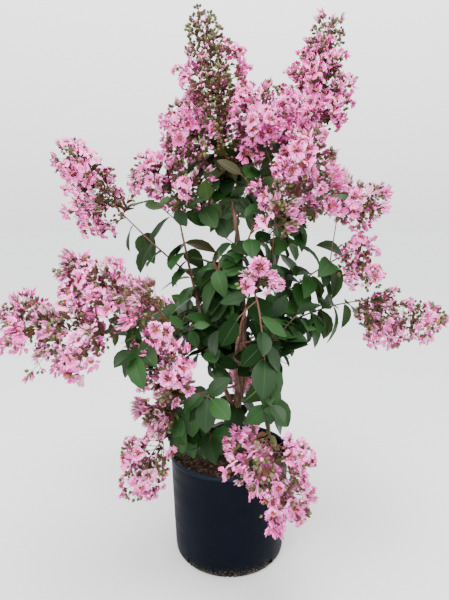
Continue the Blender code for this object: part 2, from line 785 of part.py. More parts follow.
def make_wood(limbs, parts, taken):
    for name, limb in limbs.items():
        if name.endswith(("_leaves", "_panicle")):
            continue
        item = limb.build(name, parts)
        if limb.fork:
            cut_clear(item, limb, limbs)
        give_finish(item, "bark")
        shade_round(item)
        taken.add_object(item)


def reserve_axes(limbs, taken):
    """Keeps every mass clear of the other masses' axes before any of them grows."""
    axes = new_collection("axes")
    for name, limb in limbs.items():
        if name.endswith(("_leaves", "_panicle")):
            taken.add_object(limb.build(name, axes))
    remove_collection(axes)


def make_mass(shoot, kind, grow, colour, limbs, parts, taken):
    name = shoot.name + kind
    if name not in limbs:
        return
    mass = Mass(name, limbs[name], taken)
    grow(shoot, mass, random.Random(name))
    item = mass.join(parts)
    if limbs[name].fork:
        cut_clear(item, limbs[name], limbs)
    give_finish(item, colour)
    print(name, "has", mass.count, "pieces on its axis")


def main():
    clear_scene()
    parts = new_collection("potted_crape_myrtle")
    taken = Taken()
    taken.add_object(make_pot(parts))
    taken.add_object(make_compost(parts))
    limbs = make_limbs()
    make_wood(limbs, parts, taken)
    reserve_axes(limbs, taken)
    for shoot in SHOOTS:
        make_mass(shoot, "_panicle", grow_panicle, "blossom", limbs, parts, taken)
        make_mass(shoot, "_leaves", grow_leaves, "leaf", limbs, parts, taken)


main()
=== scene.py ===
# %% [markdown]
# # A potted crape myrtle
#
# The plant stands in a nursery pot. A trunk rises from the compost and four stems fork from it. Thin
# boughs leave them, each clothed in opposite leaves and ended by a panicle, which is a loose cone of
# crinkled pink flowers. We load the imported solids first, because they fix every size and place. Then
# we dress them: pot, compost, wood, blossom and leaves, in that order.

import json
import math
import random

import bmesh
import bpy
import numpy as np
from mathutils import Matrix, Vector, noise

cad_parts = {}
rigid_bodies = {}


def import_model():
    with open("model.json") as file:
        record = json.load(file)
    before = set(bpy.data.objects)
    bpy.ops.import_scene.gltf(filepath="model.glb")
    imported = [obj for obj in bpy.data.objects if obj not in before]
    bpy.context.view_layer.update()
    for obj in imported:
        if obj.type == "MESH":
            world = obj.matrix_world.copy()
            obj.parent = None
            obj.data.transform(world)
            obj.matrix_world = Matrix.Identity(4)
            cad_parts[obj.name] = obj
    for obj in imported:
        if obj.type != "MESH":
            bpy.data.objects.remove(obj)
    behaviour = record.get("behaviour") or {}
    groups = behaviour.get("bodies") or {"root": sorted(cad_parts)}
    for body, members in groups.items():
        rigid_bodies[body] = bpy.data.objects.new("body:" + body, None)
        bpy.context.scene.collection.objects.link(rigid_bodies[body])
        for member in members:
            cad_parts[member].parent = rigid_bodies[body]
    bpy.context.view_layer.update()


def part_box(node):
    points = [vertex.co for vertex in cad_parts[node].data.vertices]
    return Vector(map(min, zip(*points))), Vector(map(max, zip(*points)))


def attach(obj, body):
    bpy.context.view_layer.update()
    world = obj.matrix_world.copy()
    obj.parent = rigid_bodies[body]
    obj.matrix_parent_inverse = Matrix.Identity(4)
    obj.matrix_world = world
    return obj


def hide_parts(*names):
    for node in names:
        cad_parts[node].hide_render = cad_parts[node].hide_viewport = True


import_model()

# %% [markdown]
# ## Small helpers
#
# A learner meets the same few jobs again and again in Blender: turning a colour from a paint chart
# into the linear numbers that a shader wants, adding a shader node, and choosing points of a mesh by
# where they are. We write each of them once, as a short function.

# %% Helpers for colour, nodes and editing
def linear(hex_text):
    """An sRGB colour such as "#F2A3CF" as linear red, green and blue, with alpha 1."""
    channels = [int(hex_text[i:i + 2], 16) / 255 for i in (1, 3, 5)]
    return [c / 12.92 if c <= 0.04045 else ((c + 0.055) / 1.055) ** 2.4 for c in channels] + [1.0]


def new_material(name, colour, roughness, **sockets):
    """A Principled material. sockets are more of the shader's inputs, with _ for each space."""
    material = bpy.data.materials.new(name)
    material.use_nodes = True
    shader = material.node_tree.nodes["Principled BSDF"]
    shader.inputs["Base Color"].default_value = linear(colour)
    shader.inputs["Roughness"].default_value = roughness
    for socket, value in sockets.items():
        shader.inputs[socket.replace("_", " ")].default_value = value
    return material


def add_node(material, kind, inputs, **settings):
    """Adds a node to a material or a world. Each input is a value, or another node's output."""
    tree = material.node_tree
    made = tree.nodes.new(kind)
    for name, value in settings.items():
        setattr(made, name, value)
    for socket, value in inputs.items():
        if isinstance(value, bpy.types.NodeSocket):
            tree.links.new(value, made.inputs[socket])
        else:
            made.inputs[socket].default_value = value
    return made


def link_shader(material, socket, output):
    """Links a node's output to an input of the material's own shader."""
    shader = material.node_tree.nodes["Principled BSDF"]
    material.node_tree.links.new(output, shader.inputs[socket])


def start_piece():
    """Nothing stays selected, so that an operator acts on the new piece alone."""
    bpy.ops.object.select_all(action="DESELECT")


def pick(item, test):
    """In edit mode: selects the vertices whose place passes the test, and what lies between them."""
    bpy.ops.mesh.select_all(action="DESELECT")
    bpy.ops.mesh.select_mode(type="VERT")
    bm = bmesh.from_edit_mesh(item.data)
    for vertex in bm.verts:
        vertex.select = test(vertex.co)
    bm.select_flush(True)
    bmesh.update_edit_mesh(item.data)


def end_edit(item, name):
    """Leaves edit mode, and names the piece and its mesh."""
    bpy.ops.object.mode_set(mode="OBJECT")
    item.name = name
    item.data.name = name


def apply_place(item):
    """Moves the object's place, turn and scale into its mesh."""
    bpy.ops.object.transform_apply(location=True, rotation=True, scale=True)
    return item


def near(value, target, reach=0.0002):
    return abs(value - target) < reach


# %% [markdown]
# ## Camera, floor and light
#
# The photograph looks slightly down on the plant, from just above the middle of its height. Its
# camera was worked out from the ellipses of the pot's rim and foot. The floor is plain and pale, and
# the light is soft and wide, as from a white roof, so that no petal casts a hard shadow.

# %% Camera
CAMERA_PLACE = (-0.0118, -1.0325, 0.754)
CAMERA_TILT = math.radians(81)
FOCAL_LENGTH = 28.08
SENSOR_WIDTH = 36
bpy.ops.object.camera_add(location=CAMERA_PLACE, rotation=(CAMERA_TILT, 0, 0))
camera = bpy.context.object
camera.data.lens = FOCAL_LENGTH
camera.data.sensor_width = SENSOR_WIDTH
bpy.context.scene.camera = camera
print("camera at", [round(v, 3) for v in camera.location])

# %% Floor and light
FLOOR_REACH = 60
# The room is brighter overhead than along the floor: the two strengths, and how far up it is full
LOW_SKY = 2.25
HIGH_SKY = 3.5
SKY_RISE = 0.45
start_piece()
bpy.ops.mesh.primitive_circle_add(vertices=96, radius=FLOOR_REACH, fill_type="NGON")
floor = bpy.context.object
floor.name = "floor"
floor_finish = new_material("pale_floor", "#D6D7D8", 0.95, Specular_IOR_Level=0.1)
floor.data.materials.append(floor_finish)

world = bpy.data.worlds.new("pale_room")
bpy.context.scene.world = world
world.use_nodes = True
backlight = world.node_tree.nodes["Background"]
backlight.inputs["Color"].default_value = linear("#EAEBED")
sky = add_node(world, "ShaderNodeTexCoord", {}).outputs["Generated"]
upward = add_node(world, "ShaderNodeSeparateXYZ", {"Vector": sky}).outputs["Z"]
strength = add_node(world, "ShaderNodeMapRange", {"Value": upward, "From Max": SKY_RISE,
                                                  "To Min": LOW_SKY, "To Max": HIGH_SKY})
world.node_tree.links.new(strength.outputs["Result"], backlight.inputs["Strength"])


def add_softbox(name, place, aim, width, power, colour):
    """A round soft light at a place, turned to its aim. width is in metres and power in watts."""
    bpy.ops.object.light_add(type="AREA", location=place)
    softbox = bpy.context.object
    softbox.name = name
    softbox.rotation_euler = (Vector(aim) - Vector(place)).to_track_quat("-Z", "Y").to_euler()
    softbox.data.shape = "DISK"
    softbox.data.size = width
    softbox.data.energy = power
    softbox.data.color = linear(colour)[:3]


add_softbox("roof_light", (0.2, -0.5, 2.9), (0, 0, 0.7), 1.5, 85, "#FFFFFF")
add_softbox("front_light", (-1.4, -2.1, 1.7), (0, 0, 0.6), 1.2, 52, "#FFFAF2")
print("two lights, and a room", LOW_SKY, "to", HIGH_SKY, "bright")

# %% [markdown]
# ## The lines that everything grows on
#
# A shrub is a set of lines before it is anything else. Each limb is a curve that sets out towards one
# point and ends at another, so three points are enough for it. The solids were grown on the same
# lines, and their rule is written here again: the trunk, the stems that fork from it, and the shoots
# that leave both. Every later step asks these lines where it may put a twig, a leaf or a flower.

# %% Walking along a line
def bezier(start, knee, end, count=13):
    """Points along a curve that sets out towards the knee and ends at the end."""
    points = []
    for i in range(count):
        t = i / (count - 1)
        points.append(start * (1 - t) ** 2 + knee * (2 * t * (1 - t)) + end * t ** 2)
    return points


def along(points, share):
    """The point at a share of a line's length."""
    lengths = [(b - a).length for a, b in zip(points, points[1:])]
    left = share * sum(lengths)
    for a, b, length in zip(points, points[1:], lengths):
        if left <= length:
            return a.lerp(b, left / length)
        left -= length
    return points[-1].copy()


def heading(points, share, step=0.02):
    """The direction of a line near a share of its length."""
    return (along(points, min(1.0, share + step)) - along(points, max(0.0, share - step))).normalized()


def length_of(points):
    return sum((b - a).length for a, b in zip(points, points[1:]))


def stretch(points, low, high, shares):
    """Points at shares of the part of a line that runs from low to high."""
    return [along(points, low + (high - low) * share) for share in shares]


def spaced(low, high, i, count):
    """The middle of the i-th of count equal steps from low to high."""
    return low + (high - low) * (i + 0.5) / count


def sideways(direction, turn):
    """A unit vector square to the direction, turned about it from the most level one."""
    level = direction.cross(Vector((0, 0, 1)))
    if level.length < 0.05:
        level = direction.cross(Vector((1, 0, 0)))
    level.normalize()
    return (Matrix.Rotation(turn, 3, direction) @ level).normalized()


# %% Sizes of the wood
COMPOST_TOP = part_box("compost")[1][2]
JOINT_GAP = 0.0004
TRUNK_FOOT = Vector((0.0, 0.005, COMPOST_TOP + 0.0003))
TRUNK_KNEE = Vector((0.062, 0.000, 0.560))
TRUNK_TIP = Vector((-0.004, 0.018, 0.850))
TRUNK_RADII = (0.0115, 0.0032)
ROOT_FLARE = 0.009
ROOT_FLARE_FADE = 0.014
STEM_RADII = (0.0058, 0.0022)
BOUGH_RADII = (0.0030, 0.0021)
LEAFY_RADII = (0.0020, 0.0014)
PANICLE_RADII = (0.0014, 0.0007)
FORK_SHARE = 0.75
FOLLOWING_PULL = 0.45
PANICLE_PULL = 0.4
FINE_STEPS = [i / 12 for i in range(13)]
PANICLE_STEPS = (0.0, 0.05, 0.5, 1.0)

# %% The shoots
# A stem has a name, the height where it forks, the point it sets out towards, and its tip.
STEMS = [
    ("stem_right", 0.300, (0.060, 0.000, 0.500), (0.150, 0.045, 0.840)),
    ("stem_left", 0.322, (-0.050, -0.010, 0.460), (-0.103, -0.020, 0.740)),
    ("stem_front", 0.370, (0.000, -0.065, 0.480), (0.030, -0.150, 0.600)),
    ("stem_back", 0.395, (-0.010, 0.080, 0.530), (0.020, 0.170, 0.760)),
]
# The length of a leafy stretch, next to its panicle, that has flower branches too
LOWER_STRETCHES = {"crown": 0.115, "crown_right": 0.070, "crown_left": 0.055, "right_high": 0.025,
                   "left_high": 0.025, "left_far": 0.025, "back_top": 0.050, "back_left": 0.030,
                   "back_right": 0.030}


class Shoot:
    """A shoot leaves its parent at a share of its length, arches up by arch to its base, where its
    panicle starts, and ends at its tip. spread is the reach of the panicle's lowest branches, bare
    is the share of the way that has no leaves, and twigs is the number of main leafy twigs. axis is
    the line of its panicle, once it is laid out."""

    def __init__(self, name, parent, at, arch, base, tip=None, spread=0, bare=0, twigs=4):
        self.name = name
        self.parent = parent
        self.at = at
        self.arch = arch
        self.base = Vector(base)
        self.tip = Vector(tip) if tip else None
        self.spread = spread
        self.bare = bare
        self.twigs = twigs
        self.axis = None


SHOOTS = [Shoot(*row) for row in (
    ("crown", "trunk", 1, 0, (-0.017, 0.02, 0.945), (-0.063, 0.02, 1.185), 0.095, 0, 2),
    ("crown_right", "stem_right", 1, 0, (0.184, 0.06, 0.935), (0.212, 0.06, 1.18), 0.085, 0, 2),
    ("crown_left", "stem_left", 1, 0, (-0.104, -0.01, 0.815), (-0.19, 0, 0.87), 0.06, 0, 2),
    ("back_top", "stem_back", 1, 0, (0.05, 0.24, 0.85), (0.085, 0.29, 1.01), 0.08, 0, 2),
    ("front_droop", "stem_front", 1, 0.05, (0.07, -0.225, 0.4), (0.09, -0.215, 0.19), 0.075, 0, 1),
    ("left_high", "stem_left", 0.78, -0.01, (-0.239, 0.02, 0.782), (-0.358, 0.02, 0.925), 0.07, 0.3, 1),
    ("right_far", "stem_right", 0.35, 0.03, (0.27, -0.01, 0.588), (0.468, -0.02, 0.552), 0.07, 0.4, 1),
    ("left_far", "stem_left", 0.42, 0.05, (-0.215, -0.2, 0.563), (-0.405, -0.2, 0.59), 0.096, 0.4, 1),
    ("right_high", "stem_right", 0.72, 0, (0.13, -0.085, 0.8), (0.172, -0.11, 0.925), 0.088, 0.3, 1),
    ("left_low", "trunk", 0.07, 0.05, (-0.125, -0.125, 0.33), (-0.19, -0.13, 0.215), 0.062, 0.3, 1),
    ("front_left", "stem_front", 0.1, 0, (-0.075, -0.19, 0.44), (-0.15, -0.2, 0.535), 0.062, 0.3, 1),
    ("back_left", "stem_back", 0.42, 0, (-0.215, 0.235, 0.52), (-0.325, 0.265, 0.55), 0.08, 0.35, 2),
    ("back_right", "stem_back", 0.7, 0, (0.175, 0.19, 0.8), (0.285, 0.235, 0.865), 0.08, 0.35, 2),
    ("right_elbow", "stem_right", 0.48, 0.02, (0.25, -0.05, 0.7), (0.312, -0.05, 0.632), 0.048, 0, 1),
    ("back_low", "stem_back", 0.18, 0.03, (0.03, 0.2, 0.44), (0.05, 0.235, 0.3), 0.065, 0, 1),
    ("crown_shoulder", "trunk", 0.93, 0, (-0.06, -0.02, 0.895), (-0.12, -0.025, 0.99), 0.07, 1, 0),
    ("crown_middle", "stem_right", 0.88, 0, (0.075, 0, 0.92), (0.07, -0.01, 1.035), 0.078, 1, 0),
    ("right_outer", "right_elbow_leaves", 0.8, 0, (0.225, -0.035, 0.775), (0.318, -0.03, 0.815), 0.055,
     1, 0),
    ("left_upper", "left_far_leaves", 0.55, 0, (-0.2, -0.165, 0.6), (-0.3, -0.15, 0.7), 0.078, 1, 0),
    ("left_inner", "left_far_leaves", 0.2, 0, (-0.11, -0.195, 0.575), (-0.16, -0.215, 0.645), 0.062,
     1, 0),
    ("front_small", "stem_front", 0.45, 0.03, (0.05, -0.165, 0.635), (0.055, -0.18, 0.69), 0.04, 1, 0),
    ("front_high", "stem_right", 0.6, 0, (0.084, -0.11, 0.74), (0.083, -0.145, 0.795), 0.05, 1, 0),
    ("left_small", "left_low_bough", 0.6, 0, (-0.1, -0.165, 0.39), (-0.17, -0.175, 0.405), 0.04, 1, 0),
    ("heart_front", "stem_front", 0.6, 0.01, (0.095, -0.13, 0.53)),
    ("heart_low", "stem_front", 0.25, 0.01, (0.09, -0.11, 0.43), None, 0, 0, 3),
    ("heart_right", "stem_right", 0.28, 0.01, (0.165, -0.03, 0.52)),
    ("heart_left", "stem_left", 0.3, 0.01, (-0.11, -0.06, 0.53)),
    ("heart_middle", "trunk", 0.52, 0.01, (-0.035, -0.095, 0.68)),
    ("heart_high", "trunk", 0.72, 0.01, (0.07, -0.06, 0.81)),
    ("heart_back", "trunk", 0.4, 0.01, (-0.075, 0.105, 0.57)),
)]
print(len(STEMS), "stems and", len(SHOOTS), "shoots")

# %% Lay out every limb
class Limb:
    """A limb's centre line, its radii at its two ends, and the radius at each of its points."""

    def __init__(self, points, end_radii):
        self.points = points
        first, last = end_radii
        steps = len(points) - 1
        self.radii = [first + (last - first) * i / steps for i in range(steps + 1)]
        self.ends = end_radii

    def radius_at(self, share):
        return self.ends[0] + (self.ends[1] - self.ends[0]) * share


limbs = {}


def height_share(points, height, steps=200):
    """The share of a rising line's length where it reaches a height."""
    return next(i / steps for i in range(steps + 1) if along(points, i / steps).z >= height)


def lay_shoot(shoot):
    """The shoot's bough, leafy stretch and panicle axis, end to end."""
    parent = limbs[shoot.parent]
    start = along(parent.points, shoot.at)
    base = shoot.base
    rise = Vector((0, 0, shoot.arch))
    if shoot.at == 1:
        way_on = heading(parent.points, 1.0)
        start = start + way_on * JOINT_GAP
        knee = start + way_on * (base - start).length * FOLLOWING_PULL + rise
        room = parent.ends[1]
    else:
        knee = start.lerp(base, 0.5) + rise
        room = parent.radius_at(shoot.at) * FORK_SHARE
    path = bezier(start, knee, base)
    if 0 < shoot.bare < 1:
        points = stretch(path, 0.0, shoot.bare, FINE_STEPS[::2])
        limbs[shoot.name + "_bough"] = Limb(points, [min(room, radius) for radius in BOUGH_RADII])
        path = stretch(path, shoot.bare, 1.0, FINE_STEPS)
    if shoot.bare < 1:
        limbs[shoot.name + "_leaves"] = Limb(path, [min(room, radius) for radius in LEAFY_RADII])
    if shoot.tip:
        way_on = (base - knee).normalized()
        turn = base + way_on * (shoot.tip - base).length * PANICLE_PULL
        line = bezier(base + way_on * JOINT_GAP, turn, shoot.tip)
        shoot.axis = stretch(line, 0.0, 1.0, PANICLE_STEPS)
        smooth_axis = bezier(base, turn, shoot.tip, 7)
        stalk = path[:-1] if shoot.bare == 1 else []
        limbs[shoot.name + "_panicle"] = Limb(stalk + smooth_axis, PANICLE_RADII)


flare_top = TRUNK_FOOT + Vector((0, 0, ROOT_FLARE_FADE))
limbs["trunk"] = Limb([TRUNK_FOOT, *bezier(flare_top, TRUNK_KNEE, TRUNK_TIP, 11)], TRUNK_RADII)
for name, fork_height, knee, tip in STEMS:
    rise = limbs["trunk"].points
    fork = along(rise, height_share(rise, fork_height))
    limbs[name] = Limb(bezier(fork, Vector(knee), Vector(tip), 7), STEM_RADII)
for shoot in SHOOTS:
    lay_shoot(shoot)
print(len(limbs), "limbs,", round(sum(length_of(limb.points) for limb in limbs.values()), 2), "m long")

# %% [markdown]
# ## The pot
#
# It is a blow-moulded nursery container of blue-black polythene: nearly straight walls, a slim rolled
# lip, and drain holes where the wall meets the floor. A turned shape could be cut from a cylinder or
# spun from a profile. We spin a profile, because the lip's roll and the foot's rounding are then a
# few points that we can name. The drain holes are cut by a Boolean modifier with short rods.

# %% Pot profile
POT_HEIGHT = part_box("pot")[1][2]
POT_FLOOR = 0.004
POT_SIDES = 128
# Each point's distance from the axis and its height: up the inside, round the lip, down the outside
POT_PROFILE = [
    (0.0, POT_FLOOR),
    (0.120, POT_FLOOR),
    (0.1247, 0.0085),
    (0.1336, 0.232),
    (0.1345, 0.2385),
    (0.1358, 0.2398),
    (0.1380, 0.2400),
    (0.1395, 0.2392),
    (0.1400, 0.2372),
    (0.1399, 0.2345),
    (0.1390, 0.2322),
    (0.1371, 0.2310),
    (0.1363, 0.2290),
    (0.1340, 0.1700),
    (0.1306, 0.0800),
    (0.1274, 0.0120),
    (0.1262, 0.0055),
    (0.1238, 0.0015),
    (0.1205, 0.0000),
    (0.1120, 0.0000),
    (0.1105, 0.0012),
    (0.0, 0.0012),
]

# %% Spin the pot
start_piece()
bpy.ops.mesh.primitive_plane_add(size=0.002)
pot = bpy.context.object
bpy.ops.object.mode_set(mode="EDIT")
bpy.ops.mesh.delete(type="VERT")
profile = bmesh.from_edit_mesh(pot.data)
ring = [profile.verts.new((radius, 0, height)) for radius, height in POT_PROFILE]
for a, b in zip(ring, ring[1:]):
    profile.edges.new((a, b))
bmesh.update_edit_mesh(pot.data)
bpy.ops.mesh.select_all(action="SELECT")
bpy.ops.mesh.spin(steps=POT_SIDES, angle=2 * math.pi, center=(0, 0, 0), axis=(0, 0, 1))
bpy.ops.mesh.select_all(action="SELECT")
bpy.ops.mesh.remove_doubles(threshold=0.00005)
bpy.ops.mesh.normals_make_consistent(inside=False)
end_edit(pot, "pot_body")

# %% Cut the drain holes
DRAIN_HOLES = 8
DRAIN_REACH = 0.126
DRAIN_HEIGHT = 0.0075
DRAIN_RADIUS = 0.0095
DRAIN_LENGTH = 0.026


def round_the_foot(i, reach, height):
    """The place of the i-th drain hole, or of what shows in it, and its angle round the pot."""
    angle = 2 * math.pi * i / DRAIN_HOLES
    return (reach * math.cos(angle), reach * math.sin(angle), height), angle


start_piece()
for i in range(DRAIN_HOLES):
    place, angle = round_the_foot(i, DRAIN_REACH, DRAIN_HEIGHT)
    bpy.ops.mesh.primitive_cylinder_add(vertices=24, radius=DRAIN_RADIUS, depth=DRAIN_LENGTH,
                                        location=place, rotation=(math.pi / 2, 0, angle + math.pi / 2))
    rod = bpy.context.object
    cut = pot.modifiers.new("Drain", "BOOLEAN")
    cut.operation = "DIFFERENCE"
    cut.object = rod
    bpy.context.view_layer.objects.active = pot
    bpy.ops.object.modifier_apply(modifier="Drain")
    bpy.data.objects.remove(rod)
pot.select_set(True)
bpy.ops.object.shade_smooth_by_angle(angle=math.radians(40))
print("pot", len(pot.data.polygons), "faces,", round(POT_HEIGHT, 3), "m high")

# %% [markdown]
# ### The pot's finish
#
# Polythene with carbon black and a blue tint looks almost black, and its sheen is broad rather than
# sharp. A paler band on the top of the lip is a painted highlight of the rolled edge, with a little
# rubbing from handling in it, and watering splashes a rim of dried silt on the foot. Both depend on
# height, so we read the object's Z, and noise breaks the silt up into specks.

# %% Polythene
SILT_TOP = 0.034
LIP_FOOT = 0.2315
LIP_TOP = 0.2395
polythene = new_material("moulded_polythene", "#05080F", 0.42, Specular_IOR_Level=0.04)
place = add_node(polythene, "ShaderNodeTexCoord", {}).outputs["Object"]
height = add_node(polythene, "ShaderNodeSeparateXYZ", {"Vector": place}).outputs["Z"]
# Broad clouds of tint, about 60 mm across
clouds = add_node(polythene, "ShaderNodeTexNoise", {"Vector": place, "Scale": 16.0, "Detail": 3.0})
tint = add_node(polythene, "ShaderNodeMix", {"Factor": clouds.outputs["Fac"], "A": linear("#03050B"),
                                             "B": linear("#070C18")}, data_type="RGBA")
# Silt specks of about 3 mm, in drifts of about 40 mm, thick at the foot and gone above it
grains = add_node(polythene, "ShaderNodeTexNoise", {"Vector": place, "Scale": 330.0, "Detail": 4.0,
                                                    "Roughness": 0.6})
drifts = add_node(polythene, "ShaderNodeTexNoise", {"Vector": place, "Scale": 25.0, "Detail": 2.0})
foot = add_node(polythene, "ShaderNodeMapRange", {"Value": height, "From Min": 0.002,
                                                  "From Max": SILT_TOP, "To Min": 0.40, "To Max": 0.0})
piled = add_node(polythene, "ShaderNodeMath", {0: drifts.outputs["Fac"], 1: foot.outputs["Result"]},
                 operation="MULTIPLY")
silted = add_node(polythene, "ShaderNodeMath", {0: grains.outputs["Fac"], 1: piled.outputs["Value"]},
                  operation="ADD")
silt_mask = add_node(polythene, "ShaderNodeMapRange", {"Value": silted.outputs["Value"],
                                                       "From Min": 0.70, "From Max": 0.75})
silty = add_node(polythene, "ShaderNodeMix", {"Factor": silt_mask.outputs["Result"],
                                              "A": tint.outputs["Result"], "B": linear("#5E5743")},
                 data_type="RGBA")
# Painted highlight on the top of the rolled lip, with a little rubbing wear: paler towards its top
lip_highlight_and_wear = add_node(polythene, "ShaderNodeMapRange", {"Value": height, "From Min": LIP_FOOT,
                                                    "From Max": LIP_TOP, "To Max": 0.75})
lip_with_highlight = add_node(polythene, "ShaderNodeMix", {"Factor": lip_highlight_and_wear.outputs["Result"],
                                            "A": silty.outputs["Result"], "B": linear("#1D2838")},
               data_type="RGBA")
link_shader(polythene, "Base Color", lip_with_highlight.outputs["Result"])
# Scuffs run round the wall: a pattern with more lumps in Z than in X and Y is stretched sideways
flat = add_node(polythene, "ShaderNodeMapping", {"Vector": place, "Scale": (14.0, 14.0, 60.0)})
scuffs = add_node(polythene, "ShaderNodeTexNoise", {"Vector": flat.outputs["Vector"], "Scale": 1.0,
                                                    "Detail": 5.0})
gloss = add_node(polythene, "ShaderNodeMapRange", {"Value": scuffs.outputs["Fac"], "From Min": 0.3,
                                                   "From Max": 0.75, "To Min": 0.42, "To Max": 0.55})
link_shader(polythene, "Roughness", gloss.outputs["Result"])
# Mould texture: grains of about 2 mm
mould = add_node(polythene, "ShaderNodeTexNoise", {"Vector": place, "Scale": 420.0, "Detail": 2.0})
bump = add_node(polythene, "ShaderNodeBump", {"Height": mould.outputs["Fac"], "Strength": 0.12,
                                              "Distance": 0.0006})
link_shader(polythene, "Normal", bump.outputs["Normal"])
pot.data.materials.append(polythene)
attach(pot, "root")
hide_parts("pot")

# %% [markdown]
# ## The compost
#
# Nursery compost is composted bark and peat, dark and uneven, level with the pot's wall but a little
# below its lip. We start from a circle, extrude it inwards ring by ring, and move its points by
# noise. Loose bark chips lie on it. One chip is modelled and copied with different turns and sizes.

# %% Copies of a model in one mesh
class Model:
    """A finished small piece as arrays. Each of its faces has a role, the name of its material."""

    def __init__(self, item):
        mesh = item.data
        roles = [slot.name for slot in mesh.materials]
        self.points = np.array([vertex.co[:] for vertex in mesh.vertices])
        self.faces = [tuple(face.vertices) for face in mesh.polygons]
        self.roles = [roles[face.material_index] for face in mesh.polygons]
        bpy.data.objects.remove(item)


class Bunch:
    """Many copies of models, and tubes, that become one mesh."""

    def __init__(self, name):
        self.name = name
        self.points = []
        self.faces = []
        self.paints = []
        self.size = 0

    def add_points(self, points):
        self.points.append(np.asarray(points))
        self.size += len(points)

    def add(self, model, place, paints):
        """Adds a copy at a place, its roles painted with the named materials."""
        turned = model.points @ np.array(place.to_3x3()).T + np.array(place.translation)
        base = self.size
        self.faces += [tuple(index + base for index in face) for face in model.faces]
        self.paints += [paints[role] for role in model.roles]
        self.add_points(turned)

    def add_tube(self, points, radii, sides, paint):
        """A tapering tube through the points, closed at its ends."""
        base = self.size
        rings = []
        across = sideways((points[1] - points[0]).normalized(), 0)
        last = len(points) - 1
        for i, (point, radius) in enumerate(zip(points, radii)):
            forward = (points[min(i + 1, last)] - points[max(i - 1, 0)]).normalized()
            across = (across - forward * across.dot(forward)).normalized()
            other = forward.cross(across)
            for k in range(sides):
                angle = 2 * math.pi * k / sides
                rings.append(point + (across * math.cos(angle) + other * math.sin(angle)) * radius)
        for i in range(last):
            for k in range(sides):
                a = base + i * sides + k
                b = base + i * sides + (k + 1) % sides
                self.faces.append((a, b, b + sides, a + sides))
        self.faces.append(tuple(base + k for k in reversed(range(sides))))
        self.faces.append(tuple(base + last * sides + k for k in range(sides)))
        self.paints += [paint] * (last * sides + 2)
        self.add_points([tuple(point) for point in rings])

    def build(self, nodes, crisp=50):
        """Makes the mesh, and hides the CAD nodes that it stands for."""
        mesh = bpy.data.meshes.new(self.name)
        mesh.from_pydata(np.concatenate(self.points).tolist(), [], self.faces)
        used = sorted(set(self.paints))
        for paint in used:
            mesh.materials.append(bpy.data.materials[paint])
        index = {paint: i for i, paint in enumerate(used)}
        mesh.polygons.foreach_set("material_index", [index[paint] for paint in self.paints])
        mesh.shade_smooth()
        mesh.set_sharp_from_angle(angle=math.radians(crisp))
        item = bpy.data.objects.new(self.name, mesh)
        bpy.context.scene.collection.objects.link(item)
        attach(item, "root")
        if nodes:
            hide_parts(*nodes)
        triangles = sum(len(face) - 2 for face in self.faces)
        print(self.name, triangles, "triangles")


# %% Compost surface
COMPOST_RADIUS = 0.1330
COMPOST_SIDES = 96
COMPOST_RINGS = 22
COMPOST_DEPTH = 0.19
COMPOST_TAPER = 0.935
# The surface is level in the middle and falls a little towards the wall
COMPOST_FALL = 0.007
COMPOST_LEVEL_REACH = 0.055
COMPOST_FALL_REACH = 0.078


def compost_fall(reach):
    """How far the surface lies below its middle, at a distance from the pot's axis."""
    return COMPOST_FALL * max(0.0, (reach - COMPOST_LEVEL_REACH) / COMPOST_FALL_REACH)


start_piece()
bpy.ops.mesh.primitive_circle_add(vertices=COMPOST_SIDES, radius=COMPOST_RADIUS, fill_type="NOTHING",
                                  location=(0, 0, COMPOST_TOP))
compost = bpy.context.object
apply_place(compost)
bpy.ops.object.mode_set(mode="EDIT")
bpy.ops.mesh.select_all(action="SELECT")
for i in range(COMPOST_RINGS):
    bpy.ops.mesh.extrude_edges_move()
    share = (COMPOST_RINGS - 1 - i) / (COMPOST_RINGS - i)
    if share > 0:
        bpy.ops.transform.resize(value=(share, share, 1), center_override=(0, 0, COMPOST_TOP))
bpy.ops.mesh.merge(type="CENTER")
pick(compost, lambda co: math.hypot(co.x, co.y) > COMPOST_RADIUS - 0.0005)
bpy.ops.mesh.extrude_edges_move(TRANSFORM_OT_translate={"value": (0, 0, -COMPOST_DEPTH)})
bpy.ops.transform.resize(value=(COMPOST_TAPER, COMPOST_TAPER, 1), center_override=(0, 0, 0.02))
bpy.ops.mesh.edge_face_add()
bpy.ops.mesh.select_all(action="SELECT")
bpy.ops.mesh.normals_make_consistent(inside=False)
end_edit(compost, "compost_bed")
for vertex in compost.data.vertices:
    if vertex.co.z > COMPOST_TOP / 2:
        reach = math.hypot(vertex.co.x, vertex.co.y)
        # Lumps of about 22 mm and of about 7 mm
        lumps = 0.0028 * noise.noise(vertex.co * 45) + 0.0018 * noise.noise(vertex.co * 140)
        vertex.co.z += lumps - compost_fall(reach) - 0.0006
compost.data.shade_smooth()
print("compost", len(compost.data.polygons), "faces")

# %% What shows in the drain holes
CLUMP_REACH = 0.1180
CLUMP_HEIGHT = 0.0035
CLUMP_RADIUS = 0.0062
FLOOR_GAP = 0.0006
start_piece()
clumps = []
for i in range(DRAIN_HOLES):
    place, angle = round_the_foot(i, CLUMP_REACH, CLUMP_HEIGHT)
    bpy.ops.mesh.primitive_ico_sphere_add(subdivisions=3, radius=CLUMP_RADIUS, location=place)
    clump = apply_place(bpy.context.object)
    for vertex in clump.data.vertices:
        # Roots and grit of about 2 mm
        vertex.co += vertex.normal * 0.0016 * noise.noise(vertex.co * 500)
        vertex.co.z = max(FLOOR_GAP, vertex.co.z)
    clumps.append(clump)
for item in (compost, *clumps):
    item.select_set(True)
bpy.context.view_layer.objects.active = compost
bpy.ops.object.join()

# %% [markdown]
# ### Bark compost, close to
#
# Composted bark is a mix of near-black humus, red-brown fibres and a few pale splinters. Grain size
# runs from 2 to 8 mm, so one cell pattern at about 6 mm colours the lumps and a finer noise breaks
# them up. It is quite matt, because damp humus hardly shines.

